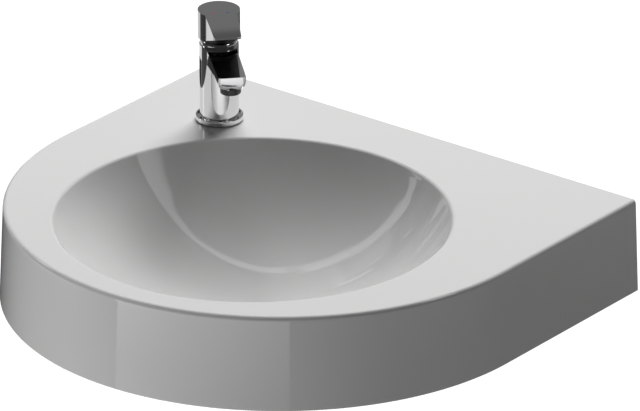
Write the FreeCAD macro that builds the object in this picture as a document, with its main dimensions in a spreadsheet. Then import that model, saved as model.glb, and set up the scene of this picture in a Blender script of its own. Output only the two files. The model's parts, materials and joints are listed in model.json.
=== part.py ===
"""Wall-hung D-shaped basin with a single-lever mixer in its left rear corner and a push-open waste.

Millimetres. +X runs along the wall, +Z is up and the room lies towards -Y. The origin is the point midway
between the two fixing holes, on the wall's face. The mixer is drawn about its own column, with its spout
along +X and z = 0 on the deck, then set on the deck and turned towards the bowl. The waste is drawn about
its own axis, with z = 0 on its ceramic seat.
"""
import FreeCAD, Part
import math
import os
import Sketcher

SIZES = {
    # basin
    "basin_width": 575.0,           # across the foot of the fascia
    "side_length": 223.8,           # straight side, from the wall to the round front
    "fascia_height": 100.0,
    "fascia_taper": 4.7,            # the fascia leans in by this much on its way up
    "top_edge_round": 4.5,
    "deck_above_fixings": 50.0,
    "deck_thickness": 13.0,
    "shell_wall": 11.0,
    "back_wall": 14.0,
    "side_ledge": 79.8,             # deck beside the bowl, were the bowl in the middle
    "front_ledge": 29.4,            # deck in front of the bowl
    "bowl_offset": 3.0,             # bowl axis, to the right of the middle
    "bowl_depth": 115.0,
    "bowl_wall": 12.0,
    "bowl_rim_round": 5.0,
    "fixing_spacing": 280.0,
    "fixing_hole_reach": 10.0,
    "tap_hole_reach": 17.5,
    "cut_overshoot": 1.0,           # cuts run this far past the faces they open
    # wall bushes
    "bush_clearance": 0.2,
    "bush_bore_reach": 5.5,
    "bush_flange_reach": 17.0,
    "bush_flange_thickness": 3.0,
    "bush_recess": 0.5,
    # waste
    "waste_hole_reach": 23.0,
    "waste_recess_reach": 33.5,
    "waste_recess_depth": 3.0,
    "waste_boss_reach": 39.0,
    "waste_boss_thickness": 14.0,
    "waste_seal_thickness": 2.0,
    "waste_flange_reach": 32.0,
    "waste_flange_thickness": 3.0,
    "waste_mouth_reach": 21.5,
    "waste_mouth_depth": 7.0,
    "waste_tail_reach": 20.95,      # G 1 1/4 thread
    "waste_tail_length": 75.0,      # below the ceramic seat
    "waste_bore_reach": 17.5,
    "waste_groove_top": 33.0,       # run-out groove between the backnut's thread and the trap's
    "waste_groove_width": 2.0,
    "waste_groove_depth": 0.8,
    "waste_arms": 3,
    "waste_hub_reach": 8.0,
    "waste_hub_top": 20.0,          # below the ceramic seat
    "waste_hub_height": 8.0,
    "waste_arm_width": 4.0,
    "waste_seal_gap": 0.35,
    "lower_seal_thickness": 4.0,
    "lower_seal_reach": 30.0,
    "backnut_reach": 31.0,
    "backnut_flange": 3.0,
    "backnut_height": 12.0,
    "backnut_flats": 52.0,
    "thread_clearance": 0.05,
    "cap_reach": 30.0,
    "cap_gap": 1.3,                 # under the closed cap, over the flange
    "cap_edge": 1.6,
    "cap_crown": 1.6,
    "cap_stem_reach": 6.0,
    "cap_stem_drop": 4.3,
    "cap_seal_inner": 23.0,
    "cap_seal_outer": 27.0,
    "rest_gap": 0.3,                # between pieces that move past each other
    "plunger_reach": 4.0,
    "plunger_length": 28.0,
    "plunger_spigot_reach": 2.4,
    "plunger_spigot_length": 5.0,
    "running_clearance": 0.05,
    "click_spigot_reach": 5.5,
    "click_collar_reach": 7.5,
    "click_collar_height": 12.0,
    "click_tail": 14.0,
    "click_floor": 3.0,
    # mixer: where it stands
    "tap_ledge": 51.9,              # column axis, out from the bowl's edge
    "tap_bearing": 43.82,           # degrees, seen from the bowl's axis, from straight left towards the wall
    "tap_turn": -43.1,              # degrees from +X, towards the bowl
    # mixer: foot and fixing
    "gasket_inner": 16.0,
    "gasket_outer": 23.0,
    "gasket_thickness": 1.0,
    "base_ring_reach": 24.9,
    "base_ring_height": 5.0,
    "base_ring_floor": 2.2,
    "base_ring_lip": 1.6,
    "base_ring_slope": 0.8,
    "spigot_reach": 14.5,
    "spigot_drop": 8.0,
    "spigot_clearance": 0.4,
    "foot_reach": 18.5,
    "shadow_gap": 3.8,
    "inlet_forward": 5.0,
    "inlet_spread": 6.5,
    "inlet_reach": 4.5,
    "inlet_depth": 12.0,
    "waterway_reach": 3.0,
    "stud_back": 8.0,
    "stud_reach": 4.0,
    "stud_drop": 62.0,
    "stud_grip": 11.0,
    "stud_hole_clearance": 0.15,
    "washer_reach": 24.0,
    "washer_thickness": 3.0,
    "plate_reach": 23.0,
    "plate_thickness": 2.5,
    "horseshoe_slot": 13.2,
    "horseshoe_edge": 1.5,
    "fixing_nut_flats": 13.0,
    "fixing_nut_height": 12.0,
    # mixer: column and spout
    "column_reach": 20.5,
    "column_top": 90.5,
    "cavity_reach": 17.7,
    "cavity_floor": 52.0,
    "dome_seat": 83.2,
    "spout_top": 85.7,
    "spout_root_half": 16.0,
    "spout_knee_half": 15.0,
    "spout_tip_half": 14.5,
    "spout_root_foot": 60.0,
    "spout_tip_foot": 71.0,
    "spout_knee": 68.0,             # from here on the spout's foot is level
    "spout_reach": 95.0,
    "spout_root_round": 9.0,
    "spout_tip_round": 8.0,
    "spout_nose_round": 4.0,
    "outlet_forward": 82.0,
    "outlet_boss_reach": 11.3,
    "outlet_bore_reach": 9.6,
    "outlet_bore_depth": 7.0,
    "channel_reach": 3.6,
    "channel_root": 69.0,
    "channel_tip": 79.0,
    # mixer: aerator
    "aerator_reach": 10.75,
    "aerator_foot": 64.4,
    "aerator_bore": 8.6,
    "aerator_spigot": 5.0,
    "aerator_lip": 0.8,
    "insert_height": 7.0,
    "insert_recess": 1.0,
    "insert_hole_reach": 0.9,
    "insert_hole_ring": 5.6,
    "insert_holes": 12,
    "insert_inner_ring": 2.8,
    "insert_inner_holes": 6,
    # mixer: cartridge
    "cartridge_reach": 17.4,
    "cartridge_waist": 15.2,
    "cartridge_waist_top": 71.0,
    "cartridge_top": 78.0,
    "carrier_reach": 13.2,
    "carrier_floor": 70.0,
    "carrier_shoulder": 77.7,
    "hub_reach": 10.0,
    "hub_top": 88.0,
    "pivot_height": 82.0,
    "pivot_pin_reach": 1.5,
    "pivot_pin_length": 19.0,
    "pin_fit": 0.02,
    "slot_half": 3.8,
    "slot_rear": 8.2,
    "slot_front": 5.4,
    "slot_floor": 76.5,
    "stem_side": 7.0,
    "stem_foot": 78.5,
    "stem_top": 112.0,
    "nut_top": 86.0,
    "nut_bore": 11.2,
    "nut_clearance": 0.1,
    "nut_notch": 5.0,
    "nut_notch_depth": 3.0,
    "nut_notches": 4,
    "dome_reach": 19.5,
    "dome_wall": 1.4,
    "dome_shoulder": 88.0,
    "dome_top": 93.5,
    "dome_crown_drop": 0.6,
    "dome_crown_reach": 15.5,
    "dome_opening": 13.0,
    # mixer: handle
    "handle_reach": 22.0,
    "handle_foot": 93.3,
    "handle_crown": 123.4,          # level top over the cap's rear half
    "handle_fall": 5.9,             # the top bends down by this much to the lever's tip
    "handle_wall": 1.8,
    "handle_ceiling": 116.0,
    "handle_boss_reach": 8.5,
    "handle_boss_foot": 102.0,
    "socket_clearance": 0.05,
    "lever_start": 15.0,
    "lever_reach": 63.0,
    "lever_root_half": 16.8,
    "lever_tip_half": 14.3,
    "lever_root_foot": 95.0,
    "lever_tip_thickness": 3.2,
    "lever_corner_round": 2.0,
    "screw_height": 107.0,
    "screw_reach": 2.5,
    "screw_length": 4.8,
    "screw_key_flats": 2.5,
    "screw_key_depth": 2.0,
    "dot_forward": 10.6,
    "dot_spread": 7.8,
    "dot_reach": 1.2,
    "dot_depth": 0.8,
    "dot_proud": 0.12,
}


class Size:
    """A length or angle that carries the formula which ties it to the sheet."""

    def __init__(self, value, formula):
        self.value = float(value)
        self.formula = formula

    def __add__(self, other):
        other = as_size(other)
        return Size(self.value + other.value, f"({self.formula} + {other.formula})")

    def __sub__(self, other):
        other = as_size(other)
        return Size(self.value - other.value, f"({self.formula} - {other.formula})")

    def __mul__(self, other):
        other = as_size(other)
        return Size(self.value * other.value, f"({self.formula} * {other.formula})")

    def __truediv__(self, other):
        other = as_size(other)
        return Size(self.value / other.value, f"({self.formula} / {other.formula})")

    def __neg__(self):
        return Size(-self.value, f"(0 - {self.formula})")


def as_size(number):
    return number if isinstance(number, Size) else Size(number, f"({number})")


def root(size):
    return Size(math.sqrt(size.value), f"sqrt({size.formula})")


def cosine(angle):
    return Size(math.cos(math.radians(angle.value)), f"cos({angle.formula} * 1 deg)")


def sine(angle):
    return Size(math.sin(math.radians(angle.value)), f"sin({angle.formula} * 1 deg)")


class SizeTable:
    """The document's sheet: each named size is one cell with an alias."""

    def __init__(self, document):
        self.document = document
        self.sheet = document.addObject("Spreadsheet::Sheet", "Sizes")
        self.rows = 0
        for name, value in SIZES.items():
            self.enter(name, str(value))
        document.recompute()

    def enter(self, name, content):
        self.rows += 1
        self.sheet.set(f"A{self.rows}", name)
        self.sheet.set(f"B{self.rows}", content)
        self.sheet.setAlias(f"B{self.rows}", name)

    def derive(self, name, amount):
        """Give a worked-out size a cell of its own, which later formulas name."""
        self.enter(name, "=" + amount.formula.replace("Sizes.", ""))
        self.document.recompute()
        return Size(amount.value, f"Sizes.{name}")

    def __getattr__(self, name):
        return Size(SIZES[name], f"Sizes.{name}")


doc = FreeCAD.newDocument("wall_basin")
size = SizeTable(doc)
NOTHING = Size(0, "0")
OVER = size.cut_overshoot


# ---- drawing helpers ----

def bind(thing, prop, amount):
    thing.setExpression(prop, as_size(amount).formula)


def new_body(name):
    body = doc.addObject("PartDesign::Body", name)
    body.Label = name
    return body


def origin_plane(body, role):
    return next(plane for plane in body.Origin.OriginFeatures if plane.Role == role)


def new_sketch(body, name, role, lift=NOTHING, across=NOTHING, along=NOTHING):
    """A sketch on one of the body's own planes, lifted off it and shifted within it."""
    sketch = body.newObject("Sketcher::SketchObject", f"{body.Name}_{name}")
    sketch.AttachmentSupport = [(origin_plane(body, role), "")]
    sketch.MapMode = "FlatFace"
    bind(sketch, "AttachmentOffset.Base.x", across)
    bind(sketch, "AttachmentOffset.Base.y", along)
    bind(sketch, "AttachmentOffset.Base.z", lift)
    return sketch


def pin_point(sketch, side, end, x, y):
    """Hold one end of a side at x, y from the sketch's origin."""
    for kind, amount, axis in (("DistanceX", x, -2), ("DistanceY", y, -1)):
        if amount is NOTHING:
            sketch.addConstraint(Sketcher.Constraint("PointOnObject", side, end, axis))
        else:
            held = sketch.addConstraint(Sketcher.Constraint(kind, -1, 1, side, end, amount.value))
            bind(sketch, f"Constraints[{held}]", amount)


def arc_between(start, finish, radius):
    """The short arc from start to finish: anticlockwise for a positive radius, else clockwise."""
    turn = 1 if radius.value > 0 else -1
    chord = finish - start
    rise = math.sqrt(max(radius.value ** 2 - (chord.Length / 2) ** 2, 0.0))
    left = FreeCAD.Vector(-chord.y, chord.x, 0) / chord.Length
    centre = (start + finish) / 2 + left * rise * turn
    circle = Part.Circle(centre, FreeCAD.Vector(0, 0, 1), abs(radius.value))
    first, last = (start, finish) if turn > 0 else (finish, start)
    angles = [math.atan2(end.y - centre.y, end.x - centre.x) for end in (first, last)]
    if angles[1] < angles[0]:
        angles[1] += 2 * math.pi
    return Part.ArcOfCircle(circle, angles[0], angles[1])


def outline(sketch, corners):
    """Close a profile through corners (x, y). A third entry bends the side that follows it to that radius."""
    corners = [tuple(NOTHING if entry == 0 else as_size(entry) for entry in corner) for corner in corners]
    points = [FreeCAD.Vector(corner[0].value, corner[1].value, 0) for corner in corners]
    ends = []
    for index, corner in enumerate(corners):
        start, finish = points[index], points[(index + 1) % len(points)]
        if len(corner) == 2:
            side = sketch.addGeometry(Part.LineSegment(start, finish))
            ends.append((side, 1, 2))
            continue
        side = sketch.addGeometry(arc_between(start, finish, corner[2]))
        ends.append((side, 1, 2) if corner[2].value > 0 else (side, 2, 1))
        length = corner[2] if corner[2].value > 0 else -corner[2]
        bend = sketch.addConstraint(Sketcher.Constraint("Radius", side, length.value))
        bind(sketch, f"Constraints[{bend}]", length)
    for index, (side, first, last) in enumerate(ends):
        following = ends[(index + 1) % len(ends)]
        sketch.addConstraint(Sketcher.Constraint("Coincident", side, last, following[0], following[1]))
        pin_point(sketch, side, first, corners[index][0], corners[index][1])


def circle(sketch, reach, x=NOTHING, y=NOTHING):
    centre = FreeCAD.Vector(x.value, y.value, 0)
    side = sketch.addGeometry(Part.Circle(centre, FreeCAD.Vector(0, 0, 1), reach.value))
    held = sketch.addConstraint(Sketcher.Constraint("Radius", side, reach.value))
    bind(sketch, f"Constraints[{held}]", reach)
    pin_point(sketch, side, 3, x, y)


def box_outline(sketch, left, right, low, high):
    outline(sketch, [(left, low), (right, low), (right, high), (left, high)])


def hexagon(sketch, flats, x=NOTHING, y=NOTHING):
    """A hexagon of this width across its flats, with two corners on the x axis."""
    corner = flats / math.sqrt(3)
    half = flats / 2
    outline(sketch, [(x + corner, y), (x + corner / 2, y + half), (x - corner / 2, y + half),
                     (x - corner, y), (x - corner / 2, y - half), (x + corner / 2, y - half)])


def extrude(body, kind, sketch, length, reverse=False, both_ways=False):
    feature = body.newObject(f"PartDesign::{kind}", f"{sketch.Name}_{kind}")
    feature.Profile = sketch
    bind(feature, "Length", length)
    feature.SideType = "Symmetric" if both_ways else "One side"
    feature.Reversed = reverse
    doc.recompute()
    return feature


def pad(body, sketch, length, **how):
    return extrude(body, "Pad", sketch, length, **how)


def volume(body):
    return 0.0 if body.Shape.isNull() else body.Shape.Volume


def refuse_idle_cut(body, sketch, before):
    """A cut that points away from the solid leaves its volume as it was."""
    if not volume(body) < before - 1e-3:
        raise RuntimeError(f"{sketch.Name} cuts nothing")


def pocket(body, sketch, length, **how):
    before = volume(body)
    feature = extrude(body, "Pocket", sketch, length, **how)
    refuse_idle_cut(body, sketch, before)
    return feature


def revolve(body, sketch, kind="Revolution", angle=360, reverse=False, axis="V_Axis"):
    before = volume(body)
    feature = body.newObject(f"PartDesign::{kind}", f"{sketch.Name}_{kind}")
    feature.Profile = sketch
    feature.ReferenceAxis = (sketch, [axis])
    feature.Angle = angle
    feature.Reversed = reverse
    doc.recompute()
    if kind == "Groove":
        refuse_idle_cut(body, sketch, before)
    return feature


def repeat_round(body, feature, count):
    """Repeat a feature evenly about the body's Z axis."""
    pattern = body.newObject("PartDesign::PolarPattern", f"{feature.Name}_pattern")
    pattern.Originals = [feature]
    pattern.Axis = (next(axis for axis in body.Origin.OriginFeatures if axis.Role == "Z_Axis"), [""])
    pattern.Angle = 360
    bind(pattern, "Occurrences", count)
    body.Tip = pattern
    doc.recompute()
    return pattern


def round_edges(body, radius, chosen):
    """Round the edges of the body's last feature that the test picks."""
    last = body.Tip
    names = [f"Edge{index}" for index, edge in enumerate(last.Shape.Edges, start=1) if chosen(edge)]
    if not names:
        raise RuntimeError(f"{body.Label} has no such edge")
    fillet = body.newObject("PartDesign::Fillet", f"{last.Name}_round")
    fillet.Base = (last, names)
    bind(fillet, "Radius", radius)
    doc.recompute()
    return fillet


def turned(name, corners):
    """A turned piece: its half section (reach, height), revolved about its own Z axis."""
    body = new_body(name)
    section = new_sketch(body, "section", "XZ_Plane")
    outline(section, corners)
    revolve(body, section)
    return body


def ring(name, inner, outer, low, high):
    return turned(name, [(inner, low), (outer, low), (outer, high), (inner, high)])


def place(body, x, y, z, turn=NOTHING, axis=(0, 0, 1)):
    body.Placement = FreeCAD.Placement(FreeCAD.Vector(), FreeCAD.Rotation(FreeCAD.Vector(*axis), 1))
    bind(body, "Placement.Base.x", x)
    bind(body, "Placement.Base.y", y)
    bind(body, "Placement.Base.z", z)
    bind(body, "Placement.Rotation.Angle", turn)
    return body


def close_to(value, target):
    return abs(value - target) < 1e-3


# ---- basin ----

HALF_WIDTH = size.basin_width / 2
HALF_TOP = HALF_WIDTH - size.fascia_taper
DECK = size.deck_above_fixings
FASCIA_FOOT = DECK - size.fascia_height
BOWL_REACH = size.derive("bowl_reach", HALF_TOP - size.side_ledge)
BOWL_SETBACK = size.derive("bowl_setback", size.side_length + HALF_TOP - size.front_ledge - BOWL_REACH)
BOWL_BALL = size.derive("bowl_ball", (BOWL_REACH * BOWL_REACH / size.bowl_depth + size.bowl_depth) / 2)
BALL_CENTRE = DECK - size.bowl_depth + BOWL_BALL
BALL_OUTSIDE = BOWL_BALL + size.bowl_wall
WASTE_SEAT = DECK - size.bowl_depth - size.waste_recess_depth
BOSS_FOOT = WASTE_SEAT - size.waste_boss_thickness
TAP_REACH = BOWL_REACH + size.tap_ledge
TAP_X = size.derive("tap_x", size.bowl_offset - TAP_REACH * cosine(size.tap_bearing))
TAP_Y = size.derive("tap_y", TAP_REACH * sine(size.tap_bearing) - BOWL_SETBACK)


def ball_height(ball, reach):
    """Height of the lower half of a ball, centred on the bowl's ball, at this reach from its axis."""
    return BALL_CENTRE - root(ball * ball - reach * reach)


def d_block(body, name, half_foot, half_top, foot, top, back, adds):
    """Straight part and half-round front of a D-shaped block, added to the body or cut from it."""
    straight = new_sketch(body, f"{name}_straight", "XZ_Plane", lift=back)
    outline(straight, [(-half_foot, foot), (half_foot, foot), (half_top, top), (-half_top, top)])
    if adds:
        pad(body, straight, size.side_length - back)
    else:
        pocket(body, straight, size.side_length - back, reverse=True)
    front = new_sketch(body, f"{name}_front", "XZ_Plane", lift=size.side_length)
    outline(front, [(0, foot), (half_foot, foot), (half_top, top), (0, top)])
    revolve(body, front, "Revolution" if adds else "Groove", angle=180, reverse=True)


def on_deck_outline(edge):
    box = edge.BoundBox
    on_deck = close_to(box.ZMin, DECK.value) and close_to(box.ZMax, DECK.value)
    return on_deck and not (close_to(box.YMin, 0) and close_to(box.YMax, 0))


def on_bowl_rim(edge):
    round_edge = isinstance(edge.Curve, Part.Circle) and close_to(edge.Curve.Radius, BOWL_REACH.value)
    return round_edge and close_to(edge.BoundBox.ZMin, DECK.value)


def basin():
    body = new_body("basin")
    wall = size.shell_wall
    hollow_top = DECK - size.deck_thickness
    d_block(body, "shell", HALF_WIDTH, HALF_TOP, FASCIA_FOOT, DECK, NOTHING, adds=True)
    round_edges(body, size.top_edge_round, on_deck_outline)
    d_block(body, "hollow", HALF_WIDTH - wall, HALF_TOP - wall, FASCIA_FOOT, hollow_top, size.back_wall,
            adds=False)

    # The dish, thickened to a flat boss round the waste hole, then hollowed.
    rise = BALL_CENTRE - hollow_top
    top_reach = root(BALL_OUTSIDE * BALL_OUTSIDE - rise * rise)
    dish = new_sketch(body, "dish", "XZ_Plane", lift=BOWL_SETBACK, across=size.bowl_offset)
    outline(dish, [(0, BOSS_FOOT), (size.waste_boss_reach, BOSS_FOOT),
                   (size.waste_boss_reach, ball_height(BALL_OUTSIDE, size.waste_boss_reach), BALL_OUTSIDE),
                   (top_reach, hollow_top), (top_reach, DECK - size.bowl_rim_round),
                   (0, DECK - size.bowl_rim_round)])
    revolve(body, dish)
    bowl = new_sketch(body, "bowl", "XZ_Plane", lift=BOWL_SETBACK, across=size.bowl_offset)
    outline(bowl, [(0, BOSS_FOOT - OVER), (size.waste_hole_reach, BOSS_FOOT - OVER),
                   (size.waste_hole_reach, WASTE_SEAT), (size.waste_recess_reach, WASTE_SEAT),
                   (size.waste_recess_reach, ball_height(BOWL_BALL, size.waste_recess_reach), BOWL_BALL),
                   (BOWL_REACH, DECK), (BOWL_REACH, DECK + OVER), (0, DECK + OVER)])
    revolve(body, bowl, "Groove")
    round_edges(body, size.bowl_rim_round, on_bowl_rim)

    tap_hole = new_sketch(body, "tap_hole", "XY_Plane", lift=DECK)
    circle(tap_hole, size.tap_hole_reach, TAP_X, TAP_Y)
    pocket(body, tap_hole, size.deck_thickness + OVER)
    fixing_holes = new_sketch(body, "fixing_holes", "XZ_Plane")
    for side in (-1, 1):
        circle(fixing_holes, size.fixing_hole_reach, size.fixing_spacing / 2 * side)
    pocket(body, fixing_holes, size.back_wall + OVER, reverse=True)


def wall_bush(name, side):
    """Flanged bush that centres the wall's stud in the ceramic; its flange lies on the inside of the wall."""
    sleeve = size.fixing_hole_reach - size.bush_clearance
    end = size.back_wall + size.bush_flange_thickness
    body = turned(name, [(size.bush_bore_reach, size.bush_recess), (sleeve, size.bush_recess),
                         (sleeve, size.back_wall), (size.bush_flange_reach, size.back_wall),
                         (size.bush_flange_reach, end), (size.bush_bore_reach, end)])
    place(body, size.fixing_spacing / 2 * side, NOTHING, NOTHING, turn=90, axis=(1, 0, 0))


# ---- waste ----

FLANGE_FOOT = size.waste_seal_thickness
FLANGE_TOP = FLANGE_FOOT + size.waste_flange_thickness
CAP_FOOT = FLANGE_TOP + size.cap_gap
BOSS_UNDERSIDE = -size.waste_boss_thickness
SEAL_FOOT = BOSS_UNDERSIDE - size.lower_seal_thickness
HUB_TOP = -size.waste_hub_top
HUB_FOOT = HUB_TOP - size.waste_hub_height
PLUNGER_TOP = CAP_FOOT - size.cap_stem_drop
PLUNGER_FOOT = PLUNGER_TOP - size.plunger_length


def on_waste_axis(body):
    return place(body, size.bowl_offset, -BOWL_SETBACK, WASTE_SEAT)


def waste_flange():
    """Flange, threaded tail and the three-armed cross that carries the click cartridge."""
    tail_foot = -size.waste_tail_length
    tail = size.waste_tail_reach
    groove_top = -size.waste_groove_top
    groove_foot = groove_top - size.waste_groove_width
    groove_floor = tail - size.waste_groove_depth
    mouth_foot = FLANGE_TOP - size.waste_mouth_depth
    body = turned("waste_flange", [
        (size.waste_bore_reach, tail_foot), (tail, tail_foot), (tail, groove_foot),
        (groove_floor, groove_foot), (groove_floor, groove_top), (tail, groove_top),
        (tail, FLANGE_FOOT), (size.waste_flange_reach, FLANGE_FOOT),
        (size.waste_flange_reach, FLANGE_TOP), (size.waste_mouth_reach, FLANGE_TOP),
        (size.waste_bore_reach, mouth_foot)])
    arm = new_sketch(body, "arm", "XY_Plane", lift=HUB_FOOT)
    box_outline(arm, 0, size.waste_bore_reach + OVER, -size.waste_arm_width / 2, size.waste_arm_width / 2)
    repeat_round(body, pad(body, arm, size.waste_hub_height), size.waste_arms)
    hub = new_sketch(body, "hub", "XY_Plane", lift=HUB_FOOT)
    circle(hub, size.waste_hub_reach)
    pad(body, hub, size.waste_hub_height)
    hub_bore = new_sketch(body, "hub_bore", "XY_Plane", lift=HUB_TOP)
    circle(hub_bore, size.click_spigot_reach + size.thread_clearance)
    pocket(body, hub_bore, size.waste_hub_height)
    on_waste_axis(body)


def waste_seals():
    on_waste_axis(ring("waste_upper_seal", size.waste_tail_reach + size.waste_seal_gap,
                       size.waste_flange_reach - size.rest_gap, NOTHING, FLANGE_FOOT))
    inner = size.waste_tail_reach + size.waste_seal_gap
    on_waste_axis(turned("waste_lower_seal", [
        (inner, SEAL_FOOT), (size.lower_seal_reach, SEAL_FOOT),
        (size.lower_seal_reach - size.lower_seal_thickness / 2, BOSS_UNDERSIDE), (inner, BOSS_UNDERSIDE)]))


def waste_backnut():
    nut_bore = size.waste_tail_reach + size.thread_clearance
    body = ring("waste_backnut", nut_bore, size.backnut_reach, SEAL_FOOT - size.backnut_flange, SEAL_FOOT)
    grip = new_sketch(body, "grip", "XY_Plane", lift=SEAL_FOOT - size.backnut_height)
    hexagon(grip, size.backnut_flats)
    circle(grip, nut_bore)
    pad(body, grip, size.backnut_height - size.backnut_flange)
    on_waste_axis(body)


def waste_cartridge():
    """Click cartridge: a collar on the cross, a threaded spigot through its hub and a blind bore."""
    foot = HUB_FOOT - size.click_tail
    bore = size.plunger_reach + size.running_clearance
    on_waste_axis(turned("waste_cartridge", [
        (0, foot), (size.click_spigot_reach, foot), (size.click_spigot_reach, HUB_TOP),
        (size.click_collar_reach, HUB_TOP), (size.click_collar_reach, HUB_TOP + size.click_collar_height),
        (bore, HUB_TOP + size.click_collar_height), (bore, foot + size.click_floor),
        (0, foot + size.click_floor)]))


def waste_plug():
    """What rises when the cap is pressed: the plunger, the cap on its spigot and the seal under the cap."""
    spigot_top = PLUNGER_TOP + size.plunger_spigot_length
    on_waste_axis(turned("waste_plunger", [
        (0, PLUNGER_FOOT), (size.plunger_reach, PLUNGER_FOOT), (size.plunger_reach, PLUNGER_TOP),
        (size.plunger_spigot_reach, PLUNGER_TOP), (size.plunger_spigot_reach, spigot_top), (0, spigot_top)]))

    socket = size.plunger_spigot_reach + size.running_clearance
    socket_top = spigot_top + size.running_clearance
    edge_top = CAP_FOOT + size.cap_edge
    crown_ball = (size.cap_reach * size.cap_reach + size.cap_crown * size.cap_crown) / (size.cap_crown * 2)
    on_waste_axis(turned("waste_cap", [
        (socket, PLUNGER_TOP), (size.cap_stem_reach, PLUNGER_TOP), (size.cap_stem_reach, CAP_FOOT),
        (size.cap_reach, CAP_FOOT), (size.cap_reach, edge_top, crown_ball),
        (0, edge_top + size.cap_crown), (0, socket_top), (socket, socket_top)]))
    on_waste_axis(ring("waste_cap_seal", size.cap_seal_inner, size.cap_seal_outer,
                       FLANGE_TOP + size.rest_gap, CAP_FOOT))


# ---- mixer: foot and fixing ----

RING_FOOT = size.gasket_thickness
COLUMN_FLOOR = RING_FOOT + size.base_ring_floor
COLUMN_FOOT = COLUMN_FLOOR + size.shadow_gap
DECK_UNDERSIDE = -size.deck_thickness
WASHER_FOOT = DECK_UNDERSIDE - size.washer_thickness
PLATE_FOOT = WASHER_FOOT - size.plate_thickness


def on_tap_axis(body):
    return place(body, TAP_X, TAP_Y, DECK, turn=size.tap_turn)


def tap_foot():
    """Gasket, and the dished ring whose lip stands round the column's shadow gap."""
    on_tap_axis(ring("tap_gasket", size.gasket_inner, size.gasket_outer, NOTHING, RING_FOOT))
    lip = size.base_ring_lip
    top = RING_FOOT + size.base_ring_height
    reach = size.base_ring_reach
    bore = size.spigot_reach + size.spigot_clearance
    on_tap_axis(turned("tap_base_ring", [
        (bore, RING_FOOT), (reach, RING_FOOT), (reach, top - lip / 2, lip / 2),
        (reach - lip / 2, top, lip / 2), (reach - lip, top - lip / 2),
        (reach - lip - size.base_ring_slope, COLUMN_FLOOR), (bore, COLUMN_FLOOR)]))


def horseshoe(name, reach, foot, thickness):
    """Open clamp washer: its slot passes the supply hoses and its back takes the stud."""
    body = new_body(name)
    disc = new_sketch(body, "disc", "XY_Plane", lift=foot)
    circle(disc, reach)
    pad(body, disc, thickness)
    slot = new_sketch(body, "slot", "XY_Plane", lift=foot + thickness)
    box_outline(slot, -size.horseshoe_edge, reach + OVER, -size.horseshoe_slot, size.horseshoe_slot)
    pocket(body, slot, thickness)
    stud_hole = new_sketch(body, "stud_hole", "XY_Plane", lift=foot + thickness)
    circle(stud_hole, size.stud_reach + size.stud_hole_clearance, -size.stud_back)
    pocket(body, stud_hole, thickness)
    on_tap_axis(body)


def tap_fixing():
    stud = new_body("tap_stud")
    rod = new_sketch(stud, "rod", "XY_Plane", lift=-size.stud_drop)
    circle(rod, size.stud_reach, -size.stud_back)
    pad(stud, rod, size.stud_drop - size.spigot_drop + size.stud_grip - size.rest_gap)
    on_tap_axis(stud)

    nut = new_body("tap_fixing_nut")
    grip = new_sketch(nut, "grip", "XY_Plane", lift=PLATE_FOOT - size.fixing_nut_height)
    hexagon(grip, size.fixing_nut_flats, -size.stud_back)
    circle(grip, size.stud_reach + size.thread_clearance, -size.stud_back)
    pad(nut, grip, size.fixing_nut_height)
    on_tap_axis(nut)


# ---- mixer: column and spout ----

def spout_section(body, name, forward, half, foot, bend):
    """Flat-topped spout section with its two lower corners rounded."""
    top = size.spout_top
    section = new_sketch(body, name, "YZ_Plane", lift=forward)
    outline(section, [(-half + bend, foot), (half - bend, foot, bend), (half, foot + bend),
                      (half, top), (-half, top), (-half, foot + bend, bend)])
    return section


def on_spout_nose(edge):
    """The front edges of the spout, sides and foot."""
    box = edge.BoundBox
    at_front = close_to(box.XMin, size.spout_reach.value) and close_to(box.XMax, size.spout_reach.value)
    return at_front and not close_to(box.ZMin, size.spout_top.value)


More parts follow.
